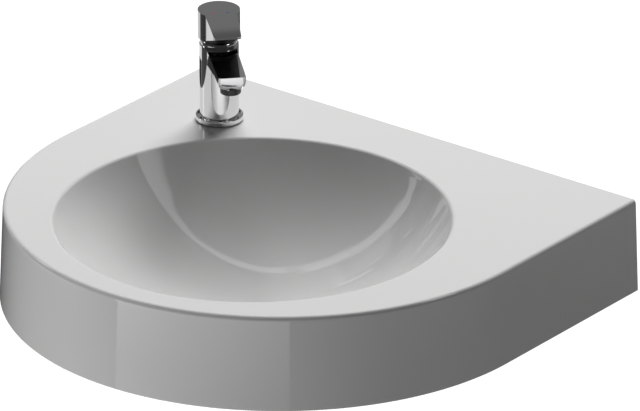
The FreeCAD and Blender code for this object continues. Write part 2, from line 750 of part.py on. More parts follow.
def tap_body():
    body = turned("tap_body", [
        (0, -size.spigot_drop), (size.spigot_reach, -size.spigot_drop), (size.spigot_reach, COLUMN_FLOOR),
        (size.foot_reach, COLUMN_FLOOR), (size.foot_reach, COLUMN_FOOT), (size.column_reach, COLUMN_FOOT),
        (size.column_reach, size.column_top), (0, size.column_top)])

    spout = body.newObject("PartDesign::AdditiveLoft", "spout")
    spout.Profile = spout_section(body, "spout_root", NOTHING, size.spout_root_half, size.spout_root_foot,
                                  size.spout_root_round)
    spout.Sections = [
        spout_section(body, "spout_knee", size.spout_knee, size.spout_knee_half, size.spout_tip_foot,
                      size.spout_tip_round),
        spout_section(body, "spout_tip", size.spout_reach, size.spout_tip_half, size.spout_tip_foot,
                      size.spout_tip_round)]
    spout.Ruled = True
    doc.recompute()
    round_edges(body, size.spout_nose_round, on_spout_nose)

    boss = new_sketch(body, "outlet_boss", "XY_Plane", lift=size.spout_tip_foot)
    circle(boss, size.outlet_boss_reach, size.outlet_forward)
    pad(body, boss, size.outlet_bore_depth)

    # Over the spout the column stops at the spout's flat top, so that the dome shows down to its foot.
    notch = new_sketch(body, "notch", "XY_Plane", lift=size.column_top)
    box_outline(notch, 0, size.column_reach + OVER, -size.spout_root_half, size.spout_root_half)
    pocket(body, notch, size.column_top - size.spout_top)

    cavity = new_sketch(body, "cavity", "XZ_Plane")
    dome_bore = size.dome_reach + size.running_clearance
    outline(cavity, [(0, size.cavity_floor), (size.cavity_reach, size.cavity_floor),
                     (size.cavity_reach, size.dome_seat), (dome_bore, size.dome_seat),
                     (dome_bore, size.column_top + OVER), (0, size.column_top + OVER)])
    revolve(body, cavity, "Groove")

    outlet = new_sketch(body, "outlet_bore", "XY_Plane", lift=size.spout_tip_foot)
    circle(outlet, size.outlet_bore_reach + size.thread_clearance, size.outlet_forward)
    pocket(body, outlet, size.outlet_bore_depth, reverse=True)
    channel(body)

    inlets = new_sketch(body, "inlets", "XY_Plane", lift=-size.spigot_drop)
    waterways = new_sketch(body, "waterways", "XY_Plane", lift=-size.spigot_drop)
    for side in (-1, 1):
        circle(inlets, size.inlet_reach, size.inlet_forward, size.inlet_spread * side)
        circle(waterways, size.waterway_reach, size.inlet_forward, size.inlet_spread * side)
    pocket(body, inlets, size.inlet_depth, reverse=True)
    pocket(body, waterways, size.cavity_floor + size.spigot_drop, reverse=True)
    stud_hole = new_sketch(body, "stud_hole", "XY_Plane", lift=-size.spigot_drop)
    circle(stud_hole, size.stud_reach + size.thread_clearance, -size.stud_back)
    pocket(body, stud_hole, size.stud_grip, reverse=True)
    on_tap_axis(body)


def channel(body):
    """Waterway from beside the cartridge, up the spout and into the outlet bore."""
    start = size.cartridge_waist
    run = size.outlet_forward - start
    rise = size.channel_tip - size.channel_root
    length = root(run * run + rise * rise)
    ahead = run / length
    upward = rise / length
    reach = size.channel_reach
    section = new_sketch(body, "channel", "XZ_Plane")
    outline(section, [(start, size.channel_root), (size.outlet_forward, size.channel_tip),
                      (size.outlet_forward - reach * upward, size.channel_tip + reach * ahead),
                      (start - reach * upward, size.channel_root + reach * ahead)])
    revolve(body, section, "Groove", axis="Edge1")


def aerator():
    """Screw-in ring, and the insert whose holes break up the jet."""
    top = size.spout_tip_foot + size.aerator_spigot
    foot = size.aerator_foot
    lip = size.aerator_lip
    ring_body = turned("aerator_ring", [
        (size.aerator_bore, foot), (size.aerator_reach - lip, foot, lip), (size.aerator_reach, foot + lip),
        (size.aerator_reach, size.spout_tip_foot), (size.outlet_bore_reach, size.spout_tip_foot),
        (size.outlet_bore_reach, top), (size.aerator_bore, top)])
    on_outlet(ring_body)

    insert = new_body("aerator_insert")
    disc = new_sketch(insert, "disc", "XY_Plane", lift=foot + size.insert_recess)
    circle(disc, size.aerator_bore - size.running_clearance)
    pad(insert, disc, size.insert_height)
    for name, ring_reach, count in (("outer", size.insert_hole_ring, size.insert_holes),
                                    ("inner", size.insert_inner_ring, size.insert_inner_holes)):
        hole = new_sketch(insert, f"{name}_hole", "XY_Plane", lift=foot + size.insert_recess)
        circle(hole, size.insert_hole_reach, ring_reach)
        repeat_round(insert, pocket(insert, hole, size.insert_height, reverse=True), count)
    on_outlet(insert)


def on_outlet(body):
    """Stand a piece on the outlet's axis, at the end of the turned spout."""
    forward = size.outlet_forward
    return place(body, TAP_X + forward * cosine(size.tap_turn), TAP_Y + forward * sine(size.tap_turn), DECK,
                 turn=size.tap_turn)


# ---- mixer: cartridge ----

def cartridge_housing():
    bore = size.carrier_reach + size.running_clearance
    on_tap_axis(turned("cartridge_housing", [
        (0, size.cavity_floor), (size.cartridge_waist, size.cavity_floor),
        (size.cartridge_waist, size.cartridge_waist_top), (size.cartridge_reach, size.cartridge_waist_top),
        (size.cartridge_reach, size.cartridge_top), (bore, size.cartridge_top), (bore, size.carrier_floor),
        (0, size.carrier_floor)]))


def cartridge_nut():
    thread = size.cavity_reach - size.nut_clearance
    body = ring("cartridge_nut", size.nut_bore, thread, size.cartridge_top, size.nut_top)
    notch = new_sketch(body, "notch", "XY_Plane", lift=size.nut_top)
    box_outline(notch, 0, size.cavity_reach + OVER, -size.nut_notch / 2, size.nut_notch / 2)
    repeat_round(body, pocket(body, notch, size.nut_notch_depth), size.nut_notches)
    on_tap_axis(body)


def tap_dome():
    """Domed cover over the nut, open in the middle for the stem."""
    wall = size.dome_wall
    outside = size.dome_reach
    crown = size.dome_crown_reach
    crown_height = size.dome_top - size.dome_crown_drop
    bend = size.dome_reach - size.dome_opening
    on_tap_axis(turned("tap_dome", [
        (outside - wall, size.dome_seat), (outside, size.dome_seat), (outside, size.dome_shoulder, bend),
        (crown, crown_height), (size.dome_opening, size.dome_top), (size.dome_opening, size.dome_top - wall),
        (crown - wall / 2, crown_height - wall, wall - bend),
        (outside - wall, size.dome_shoulder - wall / 2)]))


def cartridge_carrier():
    """Turning carrier: a shouldered hub, slotted for the stem and cross-drilled for its pin."""
    floor = size.carrier_floor + size.rest_gap
    body = turned("cartridge_carrier", [
        (0, floor), (size.carrier_reach, floor), (size.carrier_reach, size.carrier_shoulder),
        (size.hub_reach, size.carrier_shoulder), (size.hub_reach, size.hub_top), (0, size.hub_top)])
    slot = new_sketch(body, "slot", "XY_Plane", lift=size.hub_top)
    box_outline(slot, -size.slot_rear, size.slot_front, -size.slot_half, size.slot_half)
    pocket(body, slot, size.hub_top - size.slot_floor)
    cross = new_sketch(body, "cross_hole", "XZ_Plane")
    circle(cross, size.pivot_pin_reach + size.pin_fit, NOTHING, size.pivot_height)
    pocket(body, cross, (size.hub_reach + OVER) * 2, both_ways=True)
    on_tap_axis(body)

    pin = new_body("cartridge_pivot_pin")
    section = new_sketch(pin, "section", "XZ_Plane")
    circle(section, size.pivot_pin_reach, NOTHING, size.pivot_height)
    pad(pin, section, size.pivot_pin_length, both_ways=True)
    on_tap_axis(pin)


def cartridge_stem():
    body = new_body("cartridge_stem")
    half = size.stem_side / 2
    bar = new_sketch(body, "bar", "XY_Plane", lift=size.stem_foot)
    box_outline(bar, -half, half, -half, half)
    pad(body, bar, size.stem_top - size.stem_foot)
    cross = new_sketch(body, "cross_hole", "XZ_Plane")
    circle(cross, size.pivot_pin_reach + size.running_clearance, NOTHING, size.pivot_height)
    pocket(body, cross, size.stem_side + OVER * 2, both_ways=True)
    on_tap_axis(body)


# ---- mixer: handle ----

LEVER_RUN = size.lever_reach * size.lever_reach
HANDLE_BEND = size.derive("handle_bend", (LEVER_RUN / size.handle_fall + size.handle_fall) / 2)


def handle_top(forward):
    """Height of the bending top face, this far in front of the column's axis."""
    return size.handle_crown - HANDLE_BEND + root(HANDLE_BEND * HANDLE_BEND - forward * forward)


def on_lever_corner(edge):
    """The two upright edges at the lever's tip."""
    box = edge.BoundBox
    tip = size.lever_reach.value
    return close_to(box.XMin, tip) and close_to(box.XMax, tip) and close_to(box.YMin, box.YMax)


def tap_handle():
    """Cap and lever in one piece: a hollow cap with a broad wedge-shaped lever under one smooth top face."""
    body = new_body("tap_handle")
    over_top = size.handle_crown + OVER
    cap = new_sketch(body, "cap", "XY_Plane", lift=size.handle_foot)
    circle(cap, size.handle_reach)
    pad(body, cap, over_top - size.handle_foot)

    tip_top = size.handle_crown - size.handle_fall
    tip_foot = tip_top - size.lever_tip_thickness
    wedge = new_sketch(body, "wedge", "XZ_Plane")
    outline(wedge, [(size.lever_start, size.lever_root_foot), (size.lever_reach, tip_foot),
                    (size.lever_reach, over_top), (size.lever_start, over_top)])
    pad(body, wedge, size.lever_root_half * 2, both_ways=True)
    sides = new_sketch(body, "sides", "XY_Plane", lift=over_top)
    beyond = size.lever_root_half + OVER
    start = size.lever_start
    tip = size.lever_reach
    for hand in (-1, 1):
        outline(sides, [(start, size.lever_root_half * hand), (tip, size.lever_tip_half * hand),
                        (tip, beyond * hand), (start, beyond * hand)])
    pocket(body, sides, over_top - size.lever_root_foot)

    rear = -size.handle_reach - OVER
    ahead = tip + OVER
    above = new_sketch(body, "above_top", "XZ_Plane")
    outline(above, [(rear, size.handle_crown), (0, size.handle_crown, -HANDLE_BEND), (tip, tip_top),
                    (ahead, tip_top), (ahead, over_top + OVER), (rear, over_top + OVER)])
    pocket(body, above, (size.handle_reach + OVER) * 2, both_ways=True)
    round_edges(body, size.lever_corner_round, on_lever_corner)

    hollow = new_sketch(body, "hollow", "XZ_Plane")
    inner = size.handle_reach - size.handle_wall
    boss = size.handle_boss_reach
    under = size.handle_foot - OVER
    outline(hollow, [(0, under), (inner, under), (inner, size.handle_ceiling), (boss, size.handle_ceiling),
                     (boss, size.handle_boss_foot), (0, size.handle_boss_foot)])
    revolve(body, hollow, "Groove")

    side = size.stem_side / 2 + size.socket_clearance
    socket = new_sketch(body, "socket", "XY_Plane", lift=size.handle_boss_foot)
    box_outline(socket, -side, side, -side, side)
    pocket(body, socket, size.stem_top - size.handle_boss_foot + size.socket_clearance, reverse=True)
    screw_hole = new_sketch(body, "screw_hole", "YZ_Plane")
    circle(screw_hole, size.screw_reach + size.thread_clearance, NOTHING, size.screw_height)
    pocket(body, screw_hole, size.handle_reach + OVER)
    dots = new_sketch(body, "dots", "XY_Plane", lift=over_top)
    for hand in (-1, 1):
        circle(dots, size.dot_reach + size.socket_clearance, size.dot_forward, size.dot_spread * hand)
    pocket(body, dots, over_top - handle_top(size.dot_forward) + size.dot_depth)
    on_tap_axis(body)


def handle_screw():
    """Grub screw that bears on the stem, with a hexagonal key socket."""
    body = new_body("handle_screw")
    face = -size.stem_side / 2 - size.socket_clearance
    shank = new_sketch(body, "shank", "YZ_Plane", lift=face)
    circle(shank, size.screw_reach, NOTHING, size.screw_height)
    pad(body, shank, size.screw_length, reverse=True)
    key = new_sketch(body, "key", "YZ_Plane", lift=face - size.screw_length)
    hexagon(key, size.screw_key_flats, NOTHING, size.screw_height)
    pocket(body, key, size.screw_key_depth, reverse=True)
    on_tap_axis(body)


def index_dot(name, hand):
    body = new_body(name)
    floor = handle_top(size.dot_forward) - size.dot_depth
    disc = new_sketch(body, "disc", "XY_Plane", lift=floor)
    circle(disc, size.dot_reach, size.dot_forward, size.dot_spread * hand)
    pad(body, disc, size.dot_depth + size.dot_proud)
    on_tap_axis(body)


# ---- assembly ----

def build():
    basin()
    wall_bush("wall_bush_left", -1)
    wall_bush("wall_bush_right", 1)
    waste_flange()
    waste_seals()
    waste_backnut()
    waste_cartridge()
    waste_plug()
    tap_foot()
    horseshoe("tap_rubber_washer", size.washer_reach, WASHER_FOOT, size.washer_thickness)
    horseshoe("tap_clamp_plate", size.plate_reach, PLATE_FOOT, size.plate_thickness)
    tap_fixing()
    tap_body()
    aerator()
    cartridge_housing()
    cartridge_nut()
    tap_dome()
    cartridge_carrier()
    cartridge_stem()
    tap_handle()
    handle_screw()
    index_dot("hot_dot", -1)
    index_dot("cold_dot", 1)


def check_and_export():
    """Refuse a failed feature or a broken solid, then write one file for each piece."""
    doc.recompute()
    for thing in doc.Objects:
        if "Invalid" in thing.State or "Error" in thing.State:
            raise RuntimeError(f"{thing.Name} failed: {thing.State}")
    bodies = [thing for thing in doc.Objects if thing.isDerivedFrom("PartDesign::Body")]
    for body in bodies:
        if body.Shape.isNull() or not body.Shape.isValid() or len(body.Shape.Solids) != 1:
            raise RuntimeError(f"{body.Label} is not one sound solid")
    os.makedirs("parts", exist_ok=True)
    for body in bodies:
        body.Shape.exportStep(f"parts/{body.Label}.step")
        box = body.Shape.BoundBox
        print(f"{body.Label:22s} {body.Shape.Volume / 1000:9.2f} cm3  z {box.ZMin:7.1f} to {box.ZMax:6.1f}")


build()
check_and_export()
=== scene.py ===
"""Looks for the wall-hung basin with its corner mixer and push-open waste.

Metres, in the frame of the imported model: +X along the wall, +Z up, the room towards -Y, and the
origin on the wall midway between the two fixing holes.
"""

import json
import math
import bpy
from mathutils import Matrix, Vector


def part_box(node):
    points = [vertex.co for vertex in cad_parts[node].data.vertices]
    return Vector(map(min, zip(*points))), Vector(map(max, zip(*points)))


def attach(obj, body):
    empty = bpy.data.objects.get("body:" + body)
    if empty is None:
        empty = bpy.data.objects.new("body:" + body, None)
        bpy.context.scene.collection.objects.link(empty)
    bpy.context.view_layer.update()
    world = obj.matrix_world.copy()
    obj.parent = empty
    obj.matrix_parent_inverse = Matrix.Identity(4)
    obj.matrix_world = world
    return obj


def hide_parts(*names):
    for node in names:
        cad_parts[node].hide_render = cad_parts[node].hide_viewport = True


bl_info = {
    "name": "Wall-hung basin with corner mixer",
    "version": (1, 0, 0),
    "blender": (4, 5, 0),
    "location": "3D View > Sidebar > Basin",
    "description": "Dresses the packed basin, mixer and waste, and sets the stage",
    "category": "Object",
}

import bmesh
import bpy
from mathutils import Vector

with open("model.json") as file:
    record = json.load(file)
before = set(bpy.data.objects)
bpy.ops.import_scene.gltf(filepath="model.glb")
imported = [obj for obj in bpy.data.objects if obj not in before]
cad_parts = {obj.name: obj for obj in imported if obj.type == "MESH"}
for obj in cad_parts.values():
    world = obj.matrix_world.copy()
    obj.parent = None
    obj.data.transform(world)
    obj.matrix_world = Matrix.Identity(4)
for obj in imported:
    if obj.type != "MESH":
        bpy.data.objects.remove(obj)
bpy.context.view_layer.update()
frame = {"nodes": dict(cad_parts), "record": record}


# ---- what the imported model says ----

BODY_OF = {node: body for body, nodes in frame["record"]["behaviour"]["bodies"].items()
           for node in nodes}
SLOT_OF = {part["node"]: part["material_slot"] for part in frame["record"]["subparts"]}
# The aerator's ring is black, like the insert that it holds.
SLOT_OF["aerator_ring"] = SLOT_OF["aerator_insert"]
FINISH_NAMES = {slot: f"{slot}_finish" for slot in SLOT_OF.values()}
FINISH_NAMES["glaze"] = "white_glaze"

BASIN_LOW, BASIN_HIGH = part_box("basin")
GASKET_LOW, GASKET_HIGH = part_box("tap_gasket")
FLANGE_LOW, FLANGE_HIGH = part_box("waste_flange")
STUD_LOW, STUD_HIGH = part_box("tap_stud")
OUTLET_LOW, OUTLET_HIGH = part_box("aerator_ring")
DECK = BASIN_HIGH.z
TAP_AXIS = (GASKET_LOW + GASKET_HIGH) / 2
WASTE_AXIS = (FLANGE_LOW + FLANGE_HIGH) / 2
STUD_AXIS = (STUD_LOW + STUD_HIGH) / 2
OUTLET_AXIS = (OUTLET_LOW + OUTLET_HIGH) / 2
SPOUT_TURN = math.radians(-46.9)
SPOUT_WAY = Vector((math.cos(SPOUT_TURN), math.sin(SPOUT_TURN)))


# ---- fixed values of the shapes ----

MERGE = 3e-6              # corners nearer than this are one corner
SHELL_MERGE = 2e-6        # the same, on the ceramic
FLAT = math.radians(0.3)  # faces that bend less than this are one flat face
CREASE = math.radians(30.0)
GROWN_CREASE = math.radians(35.0)
UPRIGHT = 0.02            # most that the normal of an upright wall rises
ROUND_SLACK = 0.00003     # most that one face's corners differ in their reach from the axis
SQUARE_ON = 0.995         # least cosine between a round wall's face and its radius
NOSE_CUTS = 10
NOSE_SLACK = 0.0001       # the nose's front starts this far past the end of the spout's body
CUT_MERGE = 1e-6
FOOT_SLACK = 0.00005      # corners this near to the spout's underside stay where they are
LEVER_TIP = 0.003         # the part of the lever that counts as its tip
SHANK_SLACK = 0.00006     # a corner this near to the thread's crest is on the shank
HELIX_STEPS = 32
BALL_ROWS = 44
DISH_ROWS = 20
ROUND_ROWS = 8
FOOT_ROWS = 4
CLOSE_ROW = 0.125         # share of a round, from it to the row beside it
DECK_SHARES = (0.25, 0.5, 0.75, 1.0)
FASCIA_SHARES = (0.02, 0.35, 0.65, 0.98, 1.0)
FRONT_COLUMNS = 170
SIDE_COLUMNS = 26
BACK_COLUMNS = 64
BORE_SIDES = 64
BORE_DEPTH = 0.04


# ---- fixed values of the finishes ----

# Each pair is where a change starts and where it is complete.
GLAZE_STRAY = 0.0007             # how far the edge of the glaze strays
WALL_BARE = (-0.0007, -0.0003)   # bare, by the distance past the wall face
FOOT_BARE = (-0.0005, -0.0001)   # bare, by the depth below the level of the foot
FOOT_ONLY = (-0.0004, -0.0002)   # by the height above it: the waste's boss hangs lower
OFF_BOWL = (0.19, 0.20)          # by the distance from the waste's axis
# The next three place the lever's painted shade and its rougher underside.
LEVER_FRONT = (0.55, 0.75)       # by how squarely a face looks along the spout
LEVER_SKIRT = (0.100, 0.102)     # by the height above the mixer's gasket
LEVER_UNDER = (0.3, 0.8)         # by how squarely a face looks down


# ---- fixed values of the stage ----

SENSOR_WIDTH = 36.0
CLIP = (0.1, 100.0)
FLOOR_HALF = 14.0
FLOOR_GREY = 0.35         # what the floor gives back to the object
FLOOR_SEEN = 0.25         # what shows the object's shadow to the camera
FLOOR_GLOW = 0.85         # what whitens the floor to the camera

# Name, place, target, width, height, and the setting that holds the level.
LAMPS = (
    ("overhead", (-3.05, 5.35, 6.1), (0.0, -0.25, DECK), 5.6, 5.6, "key_level"),
    ("front_fill", (0.9, -1.9, -0.35), (0.0, -0.25, -0.05), 1.6, 0.4, "front_level"),
    ("left_fill", (-0.33, -1.32, -0.10), (-0.06, -0.50, 0.0), 0.35, 0.2, "left_level"),
)

# The cards are seen by mirrors only. The canopy's levels are those of its sides, of its low part
# behind the object, and of its top.
CANOPY_REACH = 4.5
CANOPY_RINGS = 32
CANOPY_FOOT = -0.1        # share of the reach, below the origin
CANOPY_LEVELS = (0.03, 0.22, 0.20)
CANOPY_BEHIND = (-0.616, 0.788)
CANOPY_REAR_STARTS = (0.1, 0.6)
CANOPY_REAR_ENDS = (0.62, 0.72)
CANOPY_TOP_STARTS = (0.62, 0.80)

# Upright round cards: name, centre, reach, (direction in plan, level) stops, (height, share) rows.
# The two small ones are left of the mixer. The fascia's mirror rays pass below them.
MIXER_CARD_REACH = 0.28
ROUND_CARDS = (
    ("round_card", (0.0, -0.25), 1.3,
     ((-48.0, 0.20), (-24.0, 0.40), (0.0, 0.48), (30.0, 0.38), (128.0, 0.03), (168.0, 0.04),
      (200.0, 0.90), (222.0, 1.00), (244.9, 0.05), (245.0, 2.5), (270.0, 1.75), (311.9, 1.55),
      (312.0, 0.20)),
     ((-0.85, 0.2), (-0.42, 0.35), (-0.31, 1.0), (-0.10, 1.0))),
    ("light_card", TAP_AXIS, MIXER_CARD_REACH, ((122.0, 0.30), (150.0, 0.80), (190.0, 0.80)),
     ((0.005, 1.0), (0.10, 1.0))),
    ("dark_card", TAP_AXIS, MIXER_CARD_REACH, ((190.0, 0.08), (238.0, 0.04)),
     ((-0.038, 1.0), (0.10, 1.0))),
)
CARD_STEP = 4.0           # degrees between a round card's columns, at most

# Level cards that bend: name, height, crisp edge, soft edge. The bowl shows the first as a band of
# light. The spout's mirror image would cut that band, so a short piece under the spout fills it.
STRIP_LEVEL = 1.9
STRIP_FADE = (0.7, 1.0)
STRIP_ACROSS = (1.60, 1.25, 0.68, 0.35, 0.10, -0.14, -0.33, -0.51, -0.69, -0.90, -1.23, -1.70,
                -2.36, -2.81)
STRIP_REAR = (0.46, 0.39, 0.27, 0.22, 0.19, 0.16, 0.13, 0.08, 0.01, -0.11, -0.26, -0.43, -0.67,
              -0.93)
STRIP_FRONT = (-0.25, -0.10, 0.01, 0.12, 0.14, 0.09, 0.05, -0.02, -0.10, -0.22, -0.44, -0.76,
               -1.32, -1.80)
STRIPS = (
    ("strip_light", 1.0, tuple(zip(STRIP_ACROSS, STRIP_REAR)),
     tuple(zip(STRIP_ACROSS, STRIP_FRONT))),
    ("strip_filler", 0.112,
     ((-0.1029, -0.1463), (-0.1059, -0.1448), (-0.1084, -0.1443), (-0.1140, -0.1432),
      (-0.1220, -0.1416), (-0.1342, -0.1407), (-0.1398, -0.1411), (-0.1446, -0.1431),
      (-0.1477, -0.1465)),
     ((-0.0919, -0.1567), (-0.0937, -0.1554), (-0.0958, -0.1542), (-0.0996, -0.1528),
      (-0.1058, -0.1507), (-0.1104, -0.1506), (-0.1118, -0.1515), (-0.1124, -0.1529),
      (-0.1130, -0.1547))),
)


# ---- what a user may change ----

def length(name, description, default):
    return bpy.props.FloatProperty(name=name, description=description, default=default,
                                   unit="LENGTH", precision=4)


def amount(name, description, default):
    return bpy.props.FloatProperty(name=name, description=description, default=default)


def angle(name, description, degrees):
    return bpy.props.FloatProperty(name=name, description=description,
                                   default=math.radians(degrees), subtype="ANGLE")


def tint(name, description, level):
    return bpy.props.FloatVectorProperty(name=name, description=description, default=level,
                                         size=3, subtype="COLOR", min=0.0, max=1.0)


class BasinSizes(bpy.types.PropertyGroup):
    """Sizes of the ceramic."""
    foot_width: length("Foot width", "Across the foot of the fascia", BASIN_HIGH.x - BASIN_LOW.x)
    depth: length("Depth", "From the wall to the foot of the front", BASIN_HIGH.y - BASIN_LOW.y)
    fascia_height: length("Fascia height", "Height of the outer wall", 0.100)
    fascia_taper: length("Fascia taper", "How far the fascia leans in on its way up", 0.0047)
    edge_round: length("Edge round", "Round between the deck and the fascia", 0.0045)
    foot_round: length("Foot round", "Round at the foot of the fascia", 0.0008)
    shell_wall: length("Wall", "Thickness of the outer wall", 0.011)
    back_wall: length("Back wall", "Thickness of the wall that is fixed to the building", 0.014)
    deck_thickness: length("Deck thickness", "Thickness of the flat top", 0.013)
    side_ledge: length("Side ledge", "Deck beside the bowl, were the bowl in the middle", 0.0798)
    front_ledge: length("Front ledge", "Deck in front of the bowl", 0.0294)
    bowl_offset: length("Bowl offset", "Bowl axis to the right of the middle", 0.003)
    bowl_depth: length("Bowl depth", "From the deck to the bottom of the bowl's ball", 0.115)
    bowl_wall: length("Bowl wall", "Thickness of the bowl", 0.012)
    rim_round: length("Rim round", "Round between the deck and the bowl", 0.005)
    waste_hole: length("Waste hole", "Radius of the hole for the waste", 0.023)
    recess_reach: length("Recess reach", "Radius of the seat for the waste's flange", 0.0335)
    recess_depth: length("Recess depth", "Depth of the seat for the waste's flange", 0.003)
    boss_reach: length("Boss reach", "Radius of the flat boss under the waste", 0.039)
    boss_thickness: length("Boss thickness", "Thickness of the ceramic round the waste", 0.014)
    tap_hole: length("Tap hole", "Radius of the hole under the mixer", 0.0175)
    fixing_hole: length("Fixing hole", "Radius of a hole in the back wall", 0.010)
    fixing_spacing: length("Fixing spacing", "Between the two holes in the back wall", 0.280)


class FittingSizes(bpy.types.PropertyGroup):
    """Sizes of what is dressed on the mixer and the waste."""
    soft_edge: length("Soft edge", "Bevel on the edges of the chromed pieces", 0.00035)
    small_edge: length("Small edge", "Bevel on the edges of the small pieces", 0.00015)
    column_rim: length("Column rim", "Height of the column's rim, level with the spout", 0.0857)
    spout_reach: length("Spout reach", "From the column's axis to the spout's front", 0.095)
    spout_foot: length("Spout foot", "Underside of the spout above the deck", 0.071)
    nose_round: length("Nose round", "Round between the spout's front and its underside", 0.004)
    nose_roll: amount("Nose roll", "How far the spout's front rolls under", 0.75)
    lever_reach: length("Lever reach", "From the column's axis to the lever's tip", 0.063)
    lever_tip_top: length("Lever tip top", "Top of the lever's tip above the deck", 0.1175)
    lever_lean: amount("Lever lean", "Slope of the face of the lever's tip", 0.45)
    flange_height: length("Flange height", "Top of the waste's flange above its seat", 0.005)
    plain_neck: length("Plain neck", "Smooth length of the tail under its seat", 0.004)
    tail_reach: length("Tail reach", "Radius of the waste's tail", 0.02095)
    groove_drop: length("Groove drop", "From the seat to the run-out groove in the tail", 0.033)
    groove_width: length("Groove width", "Width of the run-out groove in the tail", 0.002)
    tail_pitch: length("Tail pitch", "Pitch of the waste tail's thread", 0.00231)
    tail_thread: length("Tail thread", "Depth of the waste tail's thread", 0.0007)
    stud_pitch: length("Stud pitch", "Pitch of the fixing stud's thread", 0.00125)
    stud_thread: length("Stud thread", "Depth of the fixing stud's thread", 0.0005)


class Finishes(bpy.types.PropertyGroup):
    """Colours of the finishes."""
    glaze: tint("Glaze", "White glaze on the ceramic", (0.77, 0.77, 0.768))
    bisque: tint("Bisque", "Unglazed ceramic at the wall face and the foot", (0.62, 0.585, 0.52))
    chrome: tint("Chrome", "Chrome on the mixer and the waste", (0.80, 0.80, 0.81))
    lever_chrome: tint("Lever chrome", "Chrome on the lever", (0.62, 0.62, 0.63))
    brass: tint("Brass", "Machined brass", (0.72, 0.56, 0.27))
    zinc: tint("Zinc", "Zinc plating on steel", (0.60, 0.61, 0.62))
    rubber: tint("Rubber", "Seals and washers", (0.035, 0.035, 0.036))
    nylon: tint("Nylon", "White nylon", (0.80, 0.80, 0.77))
    grey_plastic: tint("Grey plastic", "Moulded pieces of the cartridges", (0.36, 0.37, 0.385))
    black_plastic: tint("Black plastic", "Aerator's ring and insert", (0.022, 0.022, 0.024))
    hot: tint("Hot", "Dot on the hot side", (0.55, 0.045, 0.04))
    cold: tint("Cold", "Dot on the cold side", (0.035, 0.07, 0.30))


class StageSettings(bpy.types.PropertyGroup):
    """Camera, lamps and floor."""
    camera_azimuth: angle("Azimuth", "Round the object, from straight in front", 37.97)
    camera_elevation: angle("Elevation", "Above the horizon", 24.05)
    camera_distance: length("Distance", "From the aim to the camera", 8.3248)
    camera_lens: amount("Lens", "Focal length in millimetres", 456.0)
    camera_aim: bpy.props.FloatVectorProperty(
        name="Aim", description="Point in the middle of the picture",
        default=(-0.01516, -0.14007, 0.01128), subtype="TRANSLATION")
    floor_drop: length("Floor drop", "Floor below the wall fixings", 0.85)
    key_level: amount("Key level", "Light of the overhead lamp on the deck", 1.48)
    left_level: amount("Left level", "Light of the lamp low on the left", 0.38)
    front_level: amount("Front level", "Light of the lamp low in front", 0.07)
    fill_level: amount("Fill level", "Even light from all round", 0.07)


# ---- node trees ----

class Wire:
    """An output socket. Arithmetic on it adds Math nodes to its tree."""

    def __init__(self, tree, socket):
        self.tree = tree
        self.socket = socket

    def maths(self, operation, *others):
        return self.tree.add("ShaderNodeMath", {"operation": operation},
                             dict(enumerate((self,) + others)))

    def __add__(self, other):
        return self.maths("ADD", other)

    def __sub__(self, other):
        return self.maths("SUBTRACT", other)

    def __mul__(self, other):
        return self.maths("MULTIPLY", other)

    def __truediv__(self, other):
        return self.maths("DIVIDE", other)

    def __radd__(self, other):
        return self.tree.number("ADD", other, self)

    def __rsub__(self, other):
        return self.tree.number("SUBTRACT", other, self)

    def __rmul__(self, other):
        return self.tree.number("MULTIPLY", other, self)

    def __rtruediv__(self, other):
        return self.tree.number("DIVIDE", other, self)

    def __neg__(self):
        return self * -1.0

    def over(self, low, high):
        """0 below low, 1 above high, and a soft ramp between them."""
        return self.tree.add("ShaderNodeMapRange", {"interpolation_type": "SMOOTHSTEP"},
                             {"Value": self, "From Min": low, "From Max": high})


class NodeTree:
    """Adds nodes to a tree: settings first, then the values and links of the sockets."""

    def __init__(self, tree):
        self.nodes = tree.nodes
        self.links = tree.links

    def make(self, kind, settings=None, sockets=None):
        node = self.nodes.new(kind)
        for name, value in (settings or {}).items():
            setattr(node, name, value)
        for name, value in (sockets or {}).items():
            if isinstance(value, Wire):
                self.links.new(value.socket, node.inputs[name])
            else:
                node.inputs[name].default_value = value
        return node

    def add(self, kind, settings=None, sockets=None, output=0):
        return Wire(self, self.make(kind, settings, sockets).outputs[output])

    def number(self, operation, first, second):
        return self.add("ShaderNodeMath", {"operation": operation}, {0: first, 1: second})

    def split(self, vector):
        node = self.make("ShaderNodeSeparateXYZ", sockets={"Vector": vector})
        return [Wire(self, node.outputs[axis]) for axis in "XYZ"]

    def join(self, x, y, z):
        return self.add("ShaderNodeCombineXYZ", sockets={"X": x, "Y": y, "Z": z})

    def spot(self):
        """Object coordinates."""
        return self.add("ShaderNodeTexCoord", output="Object")

    def attribute(self, name):
        """A number that the mesh holds at its corners."""
        return self.add("ShaderNodeAttribute",
                        {"attribute_type": "GEOMETRY", "attribute_name": name}, output="Fac")

    def close(self, kind, socket, result):
        """Lead a result to the tree's output node."""
        self.links.new(result.socket, self.make(kind).inputs[socket])


def shader_tree(owner):
    """The emptied node tree of a material or a world."""
    owner.use_nodes = True
    tree = NodeTree(owner.node_tree)
    tree.nodes.clear()
    return tree


def rgba(colour):
    return colour if isinstance(colour, Wire) else (*colour, 1.0)


def grey(level):
    return (level, level, level, 1.0)


def shade(colour, share):
    """The same colour, lighter or darker."""
    return tuple(min(1.0, channel * share) for channel in colour)


